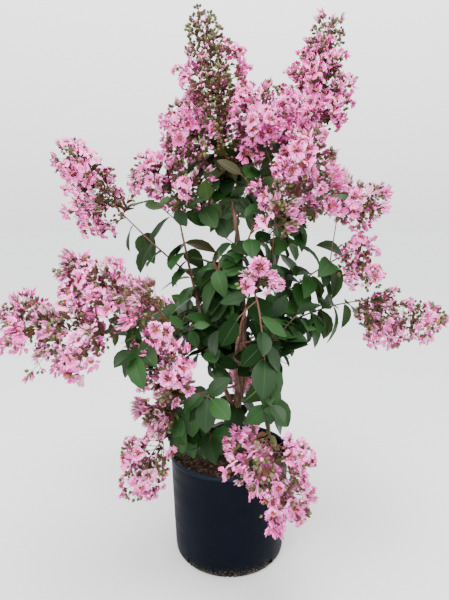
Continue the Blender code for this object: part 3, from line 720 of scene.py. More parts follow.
# %% Compost finish
humus = new_material("bark_compost", "#3A2418", 0.95, Specular_IOR_Level=0.2)
place = add_node(humus, "ShaderNodeTexCoord", {}).outputs["Object"]
lumps = add_node(humus, "ShaderNodeTexVoronoi", {"Vector": place, "Scale": 170.0, "Randomness": 1.0})
fine = add_node(humus, "ShaderNodeTexNoise", {"Vector": place, "Scale": 380.0, "Detail": 4.0})
blend = add_node(humus, "ShaderNodeMix", {"Factor": 0.55, "A": lumps.outputs["Color"],
                                          "B": fine.outputs["Color"]}, data_type="RGBA")
grey = add_node(humus, "ShaderNodeRGBToBW", {"Color": blend.outputs["Result"]}).outputs["Val"]
browns = add_node(humus, "ShaderNodeValToRGB", {"Fac": grey})
stops = browns.color_ramp.elements
for stop, (share, colour) in zip(stops, ((0.30, "#100A07"), (0.72, "#4E3325"))):
    stop.position = share
    stop.color = linear(colour)
stops.new(0.52).color = linear("#2C1B13")
link_shader(humus, "Base Color", browns.outputs["Color"])
rough = add_node(humus, "ShaderNodeBump", {"Height": grey, "Strength": 0.8, "Distance": 0.003})
link_shader(humus, "Normal", rough.outputs["Normal"])
compost.data.materials.append(humus)
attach(compost, "root")
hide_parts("compost")

# %% One bark chip, and four browns for its copies
bpy.data.materials.new("chip")
CHIP_BROWNS = {"chip_dark": "#1A100B", "chip_red": "#3A2116", "chip_tan": "#573D2A",
               "chip_grey": "#4A3F37"}
for name, colour in CHIP_BROWNS.items():
    new_material(name, colour, 0.9, Specular_IOR_Level=0.25)
start_piece()
bpy.ops.mesh.primitive_cube_add(size=1)
chip = bpy.context.object
bpy.ops.object.mode_set(mode="EDIT")
bpy.ops.mesh.subdivide(number_cuts=1)
bpy.ops.transform.vertex_random(offset=0.16, seed=4)
pick(chip, lambda co: co.x > 0.3)
bpy.ops.transform.resize(value=(1, 0.55, 0.6), center_override=(0.5, 0, 0))
end_edit(chip, "chip_model")
chip.data.materials.append(bpy.data.materials["chip"])
chip_model = Model(chip)
print("chip of", len(chip_model.faces), "faces")

# %% Scatter the chips
CHIPS = 950
CHIPS_REACH = 0.128
CHIPS_FROM_TRUNK = 0.024
CHIP_LENGTHS = (0.003, 0.012)
# Width and thickness as shares of the length
CHIP_WIDTHS = (0.3, 0.6)
CHIP_THICKNESSES = (0.15, 0.3)
# How deep in the surface or high on it a chip lies
CHIP_LEVELS = (-0.0008, 0.0012)
CHIP_TILT = 0.3
# A chip, a flower or a bud is turned by any angle, in radians
ANY_TURN = (0, 6.28)
# Darker chips are dealt more often
CHIP_DEALS = ["chip_dark", "chip_dark", "chip_red", "chip_red", "chip_tan", "chip_grey"]
chips = Bunch("bark_chips")
rng = random.Random(7)
for i in range(CHIPS):
    reach = CHIPS_REACH * math.sqrt(rng.random())
    angle = rng.uniform(0, 2 * math.pi)
    x, y = reach * math.cos(angle), reach * math.sin(angle)
    if math.hypot(x - TRUNK_FOOT.x, y - TRUNK_FOOT.y) < CHIPS_FROM_TRUNK:
        continue
    length = rng.uniform(*CHIP_LENGTHS)
    width, thickness = length * rng.uniform(*CHIP_WIDTHS), length * rng.uniform(*CHIP_THICKNESSES)
    size = Matrix.Diagonal((length, width, thickness, 1))
    lie = Matrix.Rotation(rng.uniform(*ANY_TURN), 4, "Z")
    lie = lie @ Matrix.Rotation(rng.gauss(0, CHIP_TILT), 4, "Y")
    z = COMPOST_TOP - compost_fall(reach) + rng.uniform(*CHIP_LEVELS)
    place = Matrix.Translation((x, y, z)) @ lie @ size
    chips.add(chip_model, place, {"chip": rng.choice(CHIP_DEALS)})
chips.build([], crisp=25)

# %% [markdown]
# ## Bark and wood
#
# Crape myrtle bark peels in thin plates and leaves a smooth, pinkish-brown trunk with long shallow
# flutes. A bevelled curve would give a plain tube, so we sweep our own tube round each limb's line
# with many sides. Every point then moves out or in by noise that is long along the limb and short
# round it, which makes the flutes, and a limb swells where it leaves its fork.

# %% Bark finish
bark = new_material("peeling_bark", "#8A5C48", 0.72, Specular_IOR_Level=0.3)
place = add_node(bark, "ShaderNodeTexCoord", {}).outputs["Object"]
# Plates: about 8 mm wide and 30 mm long, because peeling follows the grain
plates = add_node(bark, "ShaderNodeMapping", {"Vector": place, "Scale": (120.0, 120.0, 32.0)})
patches = add_node(bark, "ShaderNodeTexNoise", {"Vector": plates.outputs["Vector"], "Scale": 1.0,
                                                "Detail": 4.0, "Roughness": 0.65})
skins = add_node(bark, "ShaderNodeValToRGB", {"Fac": patches.outputs["Fac"]})
stops = skins.color_ramp.elements
for stop, (share, colour) in zip(stops, ((0.36, "#40281F"), (0.66, "#8C6E60"))):
    stop.position = share
    stop.color = linear(colour)
stops.new(0.5).color = linear("#68473A")
link_shader(bark, "Base Color", skins.outputs["Color"])
# Fibres: about 1.5 mm wide and 11 mm long
fibre = add_node(bark, "ShaderNodeMapping", {"Vector": place, "Scale": (700.0, 700.0, 90.0)})
strands = add_node(bark, "ShaderNodeTexNoise", {"Vector": fibre.outputs["Vector"], "Scale": 1.0,
                                                "Detail": 3.0})
relief = add_node(bark, "ShaderNodeBump", {"Height": strands.outputs["Fac"], "Strength": 0.5,
                                           "Distance": 0.001})
link_shader(bark, "Normal", relief.outputs["Normal"])

# %% Sweep a limb
# How fast the swelling at a fork dies away along the limb
COLLAR_FADE = 0.012
# Flutes follow noise. It is read round a circle of this radius, which gives about ten lumps, and at
# this many lumps to a metre along the limb
FLUTES_ROUND = 1.6
FLUTES_ALONG = 18
# Knots are smaller and lie closer
KNOTS_ALONG = 70
KNOT_DEPTH = 0.45


def sweep_limb(name, limb, sides, step, relief_depth, collar):
    """A fluted limb along its line. step is the distance between its rings, relief_depth the share of
    its radius that the flutes take, and collar how much it swells where it starts."""
    length = length_of(limb.points)
    count = max(6, round(length / step))
    line = [along(limb.points, i / count) for i in range(count + 1)]
    bunch = Bunch(name + "_bark")
    radii = []
    for i in range(count + 1):
        share = i / count
        radius = limb.radius_at(share) * (1 + collar * math.exp(-share * length / COLLAR_FADE))
        if name == "trunk":
            radius += ROOT_FLARE * math.exp(-(line[i].z - TRUNK_FOOT.z) / ROOT_FLARE_FADE)
        radii.append(radius)
    bunch.add_tube(line, radii, sides, "peeling_bark")
    points = bunch.points[0]
    for i in range(count + 1):
        centre = np.array(line[i])
        for k in range(sides):
            row = i * sides + k
            away = points[row] - centre
            angle = 2 * math.pi * k / sides
            x, y = math.cos(angle), math.sin(angle)
            around = Vector((x * FLUTES_ROUND, y * FLUTES_ROUND, i / count * length * FLUTES_ALONG))
            wave = noise.noise(around + Vector((len(name), 0, 0)))
            knot = noise.noise(Vector((x, y, i / count * length * KNOTS_ALONG)))
            points[row] = centre + away * (1 + relief_depth * (wave + KNOT_DEPTH * knot))
    if name == "trunk":
        points[:sides, 2] = TRUNK_FOOT.z
    bunch.build([name], crisp=70)


sweep_limb("trunk", limbs["trunk"], sides=20, step=0.005, relief_depth=0.13, collar=0.0)
for name, *_ in STEMS:
    sweep_limb(name, limbs[name], sides=20, step=0.005, relief_depth=0.13, collar=0.25)
for name in [shoot.name + "_bough" for shoot in SHOOTS]:
    if name in limbs:
        sweep_limb(name, limbs[name], sides=10, step=0.006, relief_depth=0.12, collar=0.35)

# %% [markdown]
# ## Flowers and buds
#
# A crape myrtle flower has six petals. Each stands on a thin claw and ends in a crumpled blade, like
# crêpe paper, and a tuft of orange-yellow stamens sits in the middle of an olive calyx. We model one
# petal from a small grid, crumple its rim, and spin five more round the centre. Models are one unit
# in radius, and each copy is scaled to its real size, 15 to 19 mm.

# %% Petal and flower
# A frill's ridges take a paler pink as painted light, and its folds a deeper pink as painted shade
FLOWER_ROLES = ("petal_rim", "petal_fold", "petal_heart", "stamens", "calyx")
LEAF_ROLES = ("leaf_top", "leaf_rib", "leaf_under", "leaf_under_rib")
ROLES = (*FLOWER_ROLES, "bud", "bud_tip", *LEAF_ROLES)
for role in ROLES:
    bpy.data.materials.new(role)


def role_slots(item, *roles):
    for role in roles:
        item.data.materials.append(bpy.data.materials[role])


def paint_faces(item, index, test):
    """In object mode: gives the faces whose middle passes the test one of the item's slots."""
    for face in item.data.polygons:
        if test(face.center):
            face.material_index = index


def make_flower(name, cup, droop, crumple, seed, full=1.0):
    """One flower. cup lifts the petals, droop lowers their rims, crumple is the depth of the frills,
    and full is the share of their size that they keep when they wither."""
    start_piece()
    bpy.ops.mesh.primitive_grid_add(x_subdivisions=2, y_subdivisions=5, size=1)
    flower = bpy.context.object
    bpy.ops.object.mode_set(mode="EDIT")
    # The blade: a narrow base, a wide middle and a round rim
    for x, place, width in ((-0.5, 0.42, 0.34), (0.0, 0.72, 0.76), (0.5, 1.00, 0.84)):
        pick(flower, lambda co: near(co.x, x, 0.01) and co.z == 0)
        bpy.ops.transform.resize(value=(1, width, 1), center_override=(x, 0, 0))
        bpy.ops.transform.translate(value=(place - x, 0, 0.0001))
    pick(flower, lambda co: co.x > 0.9 and abs(co.y) > 0.36)
    bpy.ops.transform.translate(value=(-0.18, 0, 0))
    pick(flower, lambda co: co.x > 0.6 and abs(co.y) < 0.12)
    bpy.ops.transform.translate(value=(0, 0, 0.07))
    # The claw: the base's middle edge drawn in to the centre
    pick(flower, lambda co: co.x < 0.5 and abs(co.y) < 0.05)
    bpy.ops.mesh.extrude_edges_move(TRANSFORM_OT_translate={"value": (-0.32, 0, 0)})
    # Frills: points of the rim go up and down by turns, and those behind them the other way
    for i in range(6):
        up = 1 if i % 2 else -1
        pick(flower, lambda co: co.x > 0.78 and near(co.y, (i - 2.5) * 0.168, 0.02))
        bpy.ops.transform.translate(value=(0.07 * up, 0, crumple * up))
        pick(flower, lambda co: near(co.x, 0.72, 0.02) and near(co.y, (i - 2.5) * 0.152, 0.02))
        bpy.ops.transform.translate(value=(0, 0, -0.6 * crumple * up))
    # Painted light and shade: pale pink on the frills' ridges and deeper pink in their folds take
    # turns, and the claw's end is deepest
    bpy.ops.object.mode_set(mode="OBJECT")
    role_slots(flower, *FLOWER_ROLES)
    paint_faces(flower, 1, lambda middle: middle.x > 0.70 and 0.08 < abs(middle.y) < 0.24)
    paint_faces(flower, 1, lambda middle: middle.x < 0.70 and abs(middle.y) > 0.15)
    paint_faces(flower, 2, lambda middle: middle.x < 0.70 and abs(middle.y) < 0.15)
    bpy.ops.object.mode_set(mode="EDIT")
    bpy.ops.mesh.select_all(action="SELECT")
    bpy.ops.mesh.spin(steps=5, dupli=True, angle=math.radians(300), center=(0, 0, 0), axis=(0, 0, 1))
    bpy.ops.mesh.select_all(action="SELECT")
    bpy.ops.transform.vertex_random(offset=0.06, seed=seed)
    end_edit(flower, name)
    # Each petal tilts and turns by itself, and the whole ring is cupped
    rng = random.Random(seed)
    tilts = [rng.uniform(-0.42, 0.55) for i in range(6)]
    turns = [rng.uniform(-1.0, 1.0) for i in range(6)]
    sizes = [full * rng.uniform(0.72, 1.10) for i in range(6)]
    for vertex in flower.data.vertices:
        x, y, z = vertex.co
        reach = math.hypot(x, y)
        petal = round(math.atan2(y, x) / (math.pi / 3)) % 6
        aside = math.atan2(y, x) - petal * math.pi / 3
        aside = (aside + math.pi) % (2 * math.pi) - math.pi
        lift = cup * min(reach, 0.6) - droop * max(0.0, reach - 0.6) ** 2 * 3
        vertex.co.z = z + lift + tilts[petal] * reach + turns[petal] * aside * reach
        vertex.co.x, vertex.co.y = x * sizes[petal], y * sizes[petal]

    # Stamens: a crown of points. Calyx: a cup below the claws
    bpy.ops.mesh.primitive_circle_add(vertices=12, radius=0.20, fill_type="TRIFAN",
                                      location=(0, 0, 0.16))
    crown = bpy.context.object
    apply_place(crown)
    for i, vertex in enumerate(sorted(crown.data.vertices, key=lambda v: math.atan2(v.co.y, v.co.x))):
        if math.hypot(vertex.co.x, vertex.co.y) < 0.01:
            vertex.co.z = 0.20
        else:
            spread = 1.35 if i % 2 else 0.55
            vertex.co = Vector((vertex.co.x * spread, vertex.co.y * spread, 0.44 if i % 2 else 0.12))
    role_slots(crown, *FLOWER_ROLES)
    paint_faces(crown, 3, lambda middle: True)
    bpy.ops.mesh.primitive_cone_add(vertices=6, radius1=0.09, radius2=0.33, depth=0.34,
                                    location=(0, 0, -0.07), end_fill_type="NOTHING")
    cup_piece = bpy.context.object
    apply_place(cup_piece)
    role_slots(cup_piece, *FLOWER_ROLES)
    paint_faces(cup_piece, 4, lambda middle: True)
    for piece in (flower, crown, cup_piece):
        piece.select_set(True)
    bpy.context.view_layer.objects.active = flower
    bpy.ops.object.join()
    return Model(flower)


flower_models = [
    make_flower("open_flower", 0.35, 0.30, 0.19, 1),
    make_flower("flat_flower", 0.20, 0.50, 0.21, 2),
    make_flower("cupped_flower", 0.70, 0.10, 0.19, 3),
    make_flower("frilled_flower", 0.30, 0.70, 0.24, 4),
    make_flower("deep_flower", 0.85, 0.30, 0.20, 5),
]
withered_flower = make_flower("withered_flower", 0.6, 0.0, 0.30, 6, full=0.42)
print("flower of", len(flower_models[0].faces), "faces")

# %% Buds
def make_bud(name, length, tip_paint_from):
    """A pointed six-ribbed bud on its stalk's end, one unit in radius."""
    start_piece()
    bpy.ops.mesh.primitive_uv_sphere_add(segments=6, ring_count=4, radius=1)
    bud = bpy.context.object
    bpy.ops.object.mode_set(mode="EDIT")
    bpy.ops.mesh.select_all(action="SELECT")
    bpy.ops.transform.resize(value=(1, 1, length), center_override=(0, 0, 0))
    pick(bud, lambda co: co.z > length * 0.9)
    bpy.ops.transform.translate(value=(0, 0, 0.25))
    bpy.ops.mesh.select_all(action="SELECT")
    bpy.ops.transform.translate(value=(0, 0, length * 0.8))
    end_edit(bud, name)
    role_slots(bud, "bud", "bud_tip")
    paint_faces(bud, 1, lambda middle: middle.z > tip_paint_from)
    return Model(bud)


closed_bud = make_bud("closed_bud", 1.15, 9.0)
opening_bud = make_bud("opening_bud", 1.35, 1.3)
print("bud of", len(closed_bud.faces), "faces")

# %% [markdown]
# ### The plant's colours
#
# Thousands of petals and leaves are joined, so a painted pattern would fall anywhere on them. Each
# colour is therefore a plain material, and the rule that grows the plant deals them out: fresh
# flowers are rosy, older ones fade to a pale, bluish pink, and a petal is deeper at its heart than
# at its rim. Its frills carry painted light and shade: a paler pink on their ridges and a deeper one
# in their folds.

# %% Petal, bud and stalk colours
PINKS = {"pink_deep": "#B83A86", "pink_fresh": "#E65CB0", "pink_mid": "#F279C2", "pink_soft": "#FA93D2",
         "pink_pale": "#FFBBE4"}
for name, colour in PINKS.items():
    new_material(name, colour, 0.8, Specular_IOR_Level=0.15, Sheen_Weight=0.05)
# Each plain material's colour, roughness and specular level, where 0.5 is the shader's own
PLANT_PAINTS = {
    "petal_faded": ("#CC9AAA", 0.85, 0.15), "petal_brown": ("#8A5D4C", 0.85, 0.15),
    "tuft_tan": ("#8A7444", 0.8, 0.5), "stamen_orange": ("#B9601F", 0.7, 0.5),
    "stamen_brown": ("#7C4426", 0.8, 0.5), "calyx_olive": ("#565528", 0.6, 0.5),
    "calyx_red": ("#5E3126", 0.6, 0.5), "bud_olive": ("#4B4623", 0.5, 0.4),
    "bud_bronze": ("#452A1D", 0.5, 0.4), "bud_green": ("#5B652F", 0.5, 0.4),
    "stalk_red": ("#5A3127", 0.65, 0.5), "stalk_green": ("#4A4F28", 0.65, 0.5),
}


def add_paints(paints):
    """Makes a plain material of each row."""
    for name, (colour, roughness, shine) in paints.items():
        new_material(name, colour, roughness, Specular_IOR_Level=shine)


def by_role(roles, rows):
    """Turns rows of material names into what Bunch.add asks for: the material of each role."""
    return [dict(zip(roles, row)) for row in rows]


add_paints(PLANT_PAINTS)
# Each row: the pink of the ridges, the deeper pink painted as shade in the folds, the heart, the
# stamens
FLOWER_PAINTS = by_role(FLOWER_ROLES, [
    ("pink_mid", "pink_fresh", "pink_deep", "stamen_orange"),
    ("pink_soft", "pink_mid", "pink_fresh", "stamen_orange"),
    ("pink_soft", "pink_fresh", "pink_deep", "stamen_brown"),
    ("pink_pale", "pink_mid", "pink_fresh", "stamen_orange"),
    ("pink_pale", "pink_soft", "pink_mid", "stamen_brown"),
    ("pink_soft", "petal_faded", "petal_faded", "stamen_brown"),
])
WITHERED_PAINTS = by_role(FLOWER_ROLES, [
    ("pink_pale", "petal_faded", "petal_brown", "tuft_tan"),
    ("pink_soft", "pink_mid", "petal_brown", "tuft_tan"),
])
CALYX_PAINTS = ["calyx_olive", "calyx_red"]
BUD_PAINTS = [("bud_olive", "pink_mid"), ("bud_bronze", "pink_fresh"), ("bud_green", "pink_mid")]
BUD_WEIGHTS = (4, 3, 2)

# %% [markdown]
# ## Leaves
#
# The leaves are oval with a short point, 3 to 7 cm long, dark and faintly glossy above, paler below,
# and folded a little along the midrib. A grid makes the blade: its rows are scaled to the outline,
# its columns are lifted for the fold, and Solidify gives it an underside that takes its own colour.
# Small bronze leaves, called bracts, stand inside the panicles. Ten centimetres away nobody sees
# their underside, so they stay single sheets of a few faces.

# %% One leaf
# Share of the length and half width of each row, with the length as one unit
LEAF_ROWS = ((0.00, 0.028), (0.08, 0.165), (0.25, 0.300), (0.47, 0.345), (0.70, 0.290), (0.89, 0.150),
             (1.00, 0.010))
LEAF_THICKNESS = 0.008


def make_leaf(name, rise_within, rise_rim, arch, wave):
    """A leaf along +X. The rises lift the inner and the outer column of each half above the midrib."""
    start_piece()
    bpy.ops.mesh.primitive_grid_add(x_subdivisions=6, y_subdivisions=5, size=1, location=(0.5, 0, 0))
    leaf = bpy.context.object
    apply_place(leaf)
    bpy.ops.object.mode_set(mode="EDIT")
    # The two middle columns close up to the midrib
    pick(leaf, lambda co: abs(co.y) < 0.15)
    bpy.ops.transform.resize(value=(1, 0.2, 1), center_override=(0, 0, 0))
    pick(leaf, lambda co: 0.2 < abs(co.y) < 0.4)
    bpy.ops.transform.translate(value=(0, 0, rise_within))
    pick(leaf, lambda co: abs(co.y) > 0.4)
    bpy.ops.transform.translate(value=(0, 0, rise_rim))
    for row, (share, half_width) in enumerate(LEAF_ROWS):
        x = row / 6
        pick(leaf, lambda co: near(co.x, x, 0.01) and co.z > -0.5)
        narrow = half_width / 0.5
        bpy.ops.transform.resize(value=(1, narrow, narrow ** 0.5), center_override=(x, 0, 0))
        bpy.ops.transform.translate(value=(share - x, 0, -1))
    bpy.ops.mesh.select_all(action="SELECT")
    bpy.ops.transform.translate(value=(0, 0, 1))
    end_edit(leaf, name)
    for vertex in leaf.data.vertices:
        side = vertex.co.y / 0.3
        vertex.co.z -= arch * vertex.co.x ** 2
        vertex.co.z += wave * side * side * math.sin(vertex.co.x * 9 + (2 if side > 0 else 0))
    role_slots(leaf, *LEAF_ROLES)
    paint_faces(leaf, 1, lambda middle: abs(middle.y) < 0.004)
    skin = leaf.modifiers.new("Skin", "SOLIDIFY")
    skin.thickness = LEAF_THICKNESS
    skin.offset = -1
    skin.material_offset = 2
    skin.material_offset_rim = 0
    bpy.ops.object.modifier_apply(modifier="Skin")
    return Model(leaf)


leaf_models = [
    make_leaf("leaf_level", 0.05, 0.06, 0.10, 0.014),
    make_leaf("leaf_arched", 0.05, 0.08, 0.28, 0.018),
    make_leaf("leaf_hooked", 0.04, 0.05, 0.42, 0.010),
    make_leaf("leaf_folded", 0.08, 0.15, 0.18, 0.015),
    make_leaf("leaf_rounded", 0.03, -0.02, 0.20, 0.020),
    make_leaf("leaf_hanging", 0.05, 0.09, 0.66, 0.012),
]
BUSHY_MODELS = leaf_models[:5]
HANGING_MODELS = [leaf_models[i] for i in (1, 2, 5, 5)]
print("leaf of", len(leaf_models[0].faces), "faces")

# %% One bract
BRACT_ROWS = ((0.00, 0.04), (0.35, 0.24), (0.72, 0.20), (1.00, 0.02))
start_piece()
bpy.ops.mesh.primitive_grid_add(x_subdivisions=3, y_subdivisions=2, size=1, location=(0.5, 0, 0))
bract = bpy.context.object
apply_place(bract)
bpy.ops.object.mode_set(mode="EDIT")
pick(bract, lambda co: abs(co.y) > 0.4)
bpy.ops.transform.translate(value=(0, 0, 0.16))
for row, (share, half_width) in enumerate(BRACT_ROWS):
    pick(bract, lambda co: near(co.x, row / 3, 0.01) and co.z > -0.5)
    bpy.ops.transform.resize(value=(1, half_width / 0.5, half_width / 0.25),
                             center_override=(row / 3, 0, 0))
    bpy.ops.transform.translate(value=(share - row / 3, 0, -1 - 0.18 * share ** 2))
bpy.ops.mesh.select_all(action="SELECT")
bpy.ops.transform.translate(value=(0, 0, 1))
end_edit(bract, "bract_model")
role_slots(bract, "leaf_top")
bract_model = Model(bract)

# %% Leaf colours
# Waxy leaves: a low sheen above, dull below
LEAF_GREENS = {"green_dark": "#132B0F", "green_mid": "#1B3C14", "green_deep": "#18350F",
               "green_light": "#25451A", "green_bronze": "#2C2E16"}
add_paints({name: (colour, 0.52, 0.2) for name, colour in LEAF_GREENS.items()})
add_paints({
    # Leaves in the shade of the others: darker, and without the sheen
    "green_shade": ("#0F230C", 0.75, 0.05), "under_shade": ("#1E2F17", 0.8, 0.05),
    "rib_pale": ("#29481D", 0.5, 0.2), "under_pale": ("#304824", 0.7, 0.2),
    "under_light": ("#3E572A", 0.7, 0.2), "under_rib": ("#4C6438", 0.7, 0.2),
    "bract_olive": ("#40441F", 0.6, 0.2), "bract_bronze": ("#4C301E", 0.6, 0.2),
})
LEAF_PAINTS = by_role(LEAF_ROLES, [
    ("green_dark", "green_mid", "under_pale", "under_rib"),
    ("green_mid", "rib_pale", "under_pale", "under_rib"),
    ("green_deep", "rib_pale", "under_pale", "under_rib"),
    ("green_light", "rib_pale", "under_light", "under_rib"),
    ("green_bronze", "stalk_red", "under_light", "under_rib"),
    ("green_shade", "green_dark", "under_shade", "under_rib"),
])
# How often each is dealt to the shrub, to its shady foot and heart, and to the leaves below the
# crown's flowers. The last three deal more of the dark greens as painted shade, and those below the
# crown more bronze leaves as well
LEAF_WEIGHTS = (5, 6, 4, 1.2, 0.4, 0)
SHADY_FOOT_LEAF_WEIGHTS = (6, 2, 7, 0.3, 0.3, 0)
SHADE_LEAF_WEIGHTS = (3, 0.5, 1, 0, 0, 7)
CROWN_SHADE_LEAF_WEIGHTS = (6, 1, 2, 0, 5, 0)

# %% [markdown]
# ## Panicles
#
# A panicle is a cone: branches leave its axis by turns, one golden angle after the other, long and
# level at its foot and short and steep at its tip. The solids follow this rule with the same seeds,
# so the branches here are theirs. Each one then forks into stalks, every stalk ends in a flower or in
# a few buds, and towards the tip there are only buds, because a panicle opens from its foot.

# %% Room for flowers
GOLDEN_TURN = math.radians(137.5)


class Crowd:
    """Remembers points by the small cube of space that they are in, to find near ones quickly."""

    def __init__(self, cell):
        self.cell = cell
        self.cubes = {}

    def key(self, point):
        return tuple(math.floor(value / self.cell) for value in point)

    def add(self, point):
        self.cubes.setdefault(self.key(point), []).append(point.copy())

    def near(self, point, reach):
        cx, cy, cz = self.key(point)
        for dx in (-1, 0, 1):
            for dy in (-1, 0, 1):
                for dz in (-1, 0, 1):
                    for other in self.cubes.get((cx + dx, cy + dy, cz + dz), ()):
                        if (other - point).length < reach:
                            return True
        return False


flower_crowd = Crowd(0.04)

# %% How far each panicle has opened
class Bloom:
    """How a panicle looks. Each value below is the usual one, and a panicle names those that differ."""

    # The share of its axis that is in flower. The rest is in bud
    open_to = 0.95
    # The chance of a flower close to the axis
    heart = 0.35
    # How rosy its petals are
    fresh = 0.5
    # The number of bronze leaves on each branch
    bracts = 0.8
    # Stretches its finer branches
    wide = 1.0
    # The share of the branches that are all in bud
    shut = 0.18
    # Shortens every branch
    trim = 1.0
    # The share of the branches on its front that are in bud, where that is more
    late = 0.0
    # The share of the lowest ones in flower
    low = 1.0
    # The number of finer branches between two main ones
    finer = 1
    # The share of withered flowers among the buds
    spent = 0.12
    # The share of the branches that are missing
    thin = 0.0
    # How far the ends of its branches lean to one side, at its foot and, if that differs, at its tip
    drift = (0, 0, 0)
    tip_drift = None
    # How fast it narrows towards its tip: 0.8 as in the solids, less for one that stays wide
    fade = 0.8

    def __init__(self, **settings):
        for name, value in settings.items():
            assert hasattr(self, name), name
            setattr(self, name, value)

    def lean_at(self, share):
        """How far the end of a branch leans, at a share of the axis."""
        return Vector(self.drift).lerp(Vector(self.tip_drift or self.drift), share)


BLOOMS = {
    "crown": Bloom(open_to=0.6, heart=0.1, fresh=0.7, bracts=7, shut=0.2, late=0.95, low=0.5, finer=2,
                   spent=0, fade=1.0),
    "crown_right": Bloom(open_to=0.74, heart=0.4, fresh=0.85, bracts=3, wide=1.2, shut=0.16, trim=0.95,
                         finer=2, spent=0.05, drift=(-0.034, 0, 0.002), tip_drift=(0.006, 0, 0.004)),
    "crown_middle": Bloom(open_to=0.85, heart=0.3, fresh=0.85, bracts=3, wide=1.1, shut=0.16,
                          trim=0.98, finer=2, spent=0.05, drift=(0.002, 0, -0.016),
                          tip_drift=(-0.004, 0, -0.012)),
    "crown_shoulder": Bloom(open_to=1, heart=0.35, fresh=0.7, bracts=4, wide=1.1, shut=0.2, trim=0.92,
                            finer=2, spent=0.1, drift=(0.018, 0, -0.026),
                            tip_drift=(0.014, 0, -0.012)),
    "crown_left": Bloom(heart=0.3, fresh=0.6, bracts=4, wide=1.1, shut=0.28, finer=2,
                        drift=(0.024, 0, 0.008), tip_drift=(0, 0, 0)),
    "right_high": Bloom(open_to=1, heart=0.4, fresh=0.8, bracts=2.5, shut=0.15, trim=0.8, spent=0.05,
                        drift=(-0.002, 0, -0.004), tip_drift=(-0.02, 0, -0.004)),
    "right_outer": Bloom(heart=0.15, fresh=0.6, bracts=3.5, shut=0.34, trim=0.9, spent=0.15,
                         drift=(-0.004, 0, -0.01)),
    "right_elbow": Bloom(open_to=1, heart=0.2, bracts=2.5, shut=0.2, trim=0.9, finer=2, spent=0.1,
                         drift=(-0.034, 0, 0.012), tip_drift=(-0.02, 0, 0.012), thin=0.2),
    "front_high": Bloom(open_to=1, heart=0.3, fresh=0.6, bracts=2, shut=0.3, trim=0.52,
                        drift=(0.016, 0, 0)),
    "left_high": Bloom(open_to=0.9, heart=0.2, fresh=0.45, bracts=5, shut=0.42, finer=2, spent=0.1,
                       thin=0.16, drift=(-0.01, 0, -0.018), tip_drift=(0.006, 0, -0.006)),
    "left_far": Bloom(open_to=0.95, heart=0.15, fresh=0.35, bracts=4.5, shut=0.32, trim=0.94,
                      spent=0.15, drift=(0.006, 0, -0.014), tip_drift=(-0.002, 0, 0.006), thin=0.05),
    "left_upper": Bloom(open_to=0.9, heart=0.2, fresh=0.45, bracts=4, shut=0.38, trim=0.88, spent=0.15,
                        drift=(-0.004, 0, -0.014), tip_drift=(-0.006, 0, -0.022), thin=0.05),
    "left_inner": Bloom(heart=0.15, fresh=0.45, bracts=4, shut=0.42, trim=0.88, spent=0.15,
                        drift=(-0.016, 0, -0.008), thin=0.08),
    "left_low": Bloom(open_to=1, heart=0.45, bracts=1.2, wide=0.9, shut=0.14, trim=0.92, spent=0.05,
                      drift=(-0.006, 0, 0)),
    "left_small": Bloom(open_to=0.6, heart=0.1, fresh=0.1, bracts=5, wide=0.9, shut=0.5, trim=0.7,
                        finer=2, spent=0.3, drift=(0, 0, -0.004)),
    "right_far": Bloom(open_to=0.95, heart=0.2, fresh=0.45, bracts=5, shut=0.42, trim=0.96, finer=2,
                       spent=0.12, drift=(0, 0, -0.04), tip_drift=(-0.014, 0, -0.002), thin=0.24),
    "front_left": Bloom(open_to=1, heart=0.15, bracts=6, shut=0.25, trim=0.72, finer=2, spent=0.1,
                        drift=(-0.004, 0, 0.004)),
    "front_small": Bloom(open_to=1, heart=0.4, bracts=1.5, shut=0.15, trim=0.5, drift=(0, 0, -0.008)),
    "front_droop": Bloom(open_to=1, heart=0.4, bracts=1.5, wide=1.15, shut=0.2, trim=0.92, spent=0.12,
                         drift=(-0.018, 0, 0.006), tip_drift=(0.026, 0, 0.026), fade=0.45),
    "back_low": Bloom(open_to=0.9, heart=0.3, fresh=0, bracts=1.5, shut=0.3, spent=0.4),
    "back_top": Bloom(open_to=0.9, fresh=0.6, bracts=2, wide=1.15, shut=0.25),
    "back_left": Bloom(open_to=0.9, fresh=0.4, bracts=2, wide=1.15, shut=0.25),
    "back_right": Bloom(open_to=0.9, fresh=0.6, bracts=2, wide=1.15, shut=0.25),
}
# The flowers on a branch: in full flower, part way, or none
PART_OPEN = 0.55
# A branch faces the front where the y of its direction is below this
FACES_FRONT = -0.5
# Clusters that look dark from the front, partly from buds and partly from shade: there buds take the
# place of most flowers on the front, as painted shade. Seen from the front in the trunk's plane: the
# middle of each as x and z, and half its width and height
BUD_AND_SHADE_SPOTS = [
    (-0.040, 0.958, 0.027, 0.040),
    (-0.038, 1.038, 0.040, 0.063), (-0.053, 0.876, 0.081, 0.041), (0.047, 0.868, 0.034, 0.025),
    (0.160, 0.964, 0.042, 0.014), (0.123, 0.809, 0.030, 0.047), (0.265, 0.775, 0.030, 0.017),
    (-0.268, 0.799, 0.026, 0.021), (-0.243, 0.586, 0.034, 0.038), (-0.386, 0.471, 0.027, 0.016),
    (-0.462, 0.550, 0.018, 0.016), (-0.152, 0.435, 0.034, 0.028), (-0.161, 0.332, 0.051, 0.041),
    (0.350, 0.577, 0.054, 0.032), (-0.171, 0.203, 0.026, 0.030), (0.068, 0.142, 0.029, 0.036),
    (0.136, 0.084, 0.029, 0.018),
]
BUD_AND_SHADE_SHARE = 0.2
# Places where the sky shows, given in the same way
OPEN_SPOTS = [
    (0.233, 0.932, 0.032, 0.031), (-0.269, 0.381, 0.032, 0.029), (0.270, 0.913, 0.030, 0.025),
]


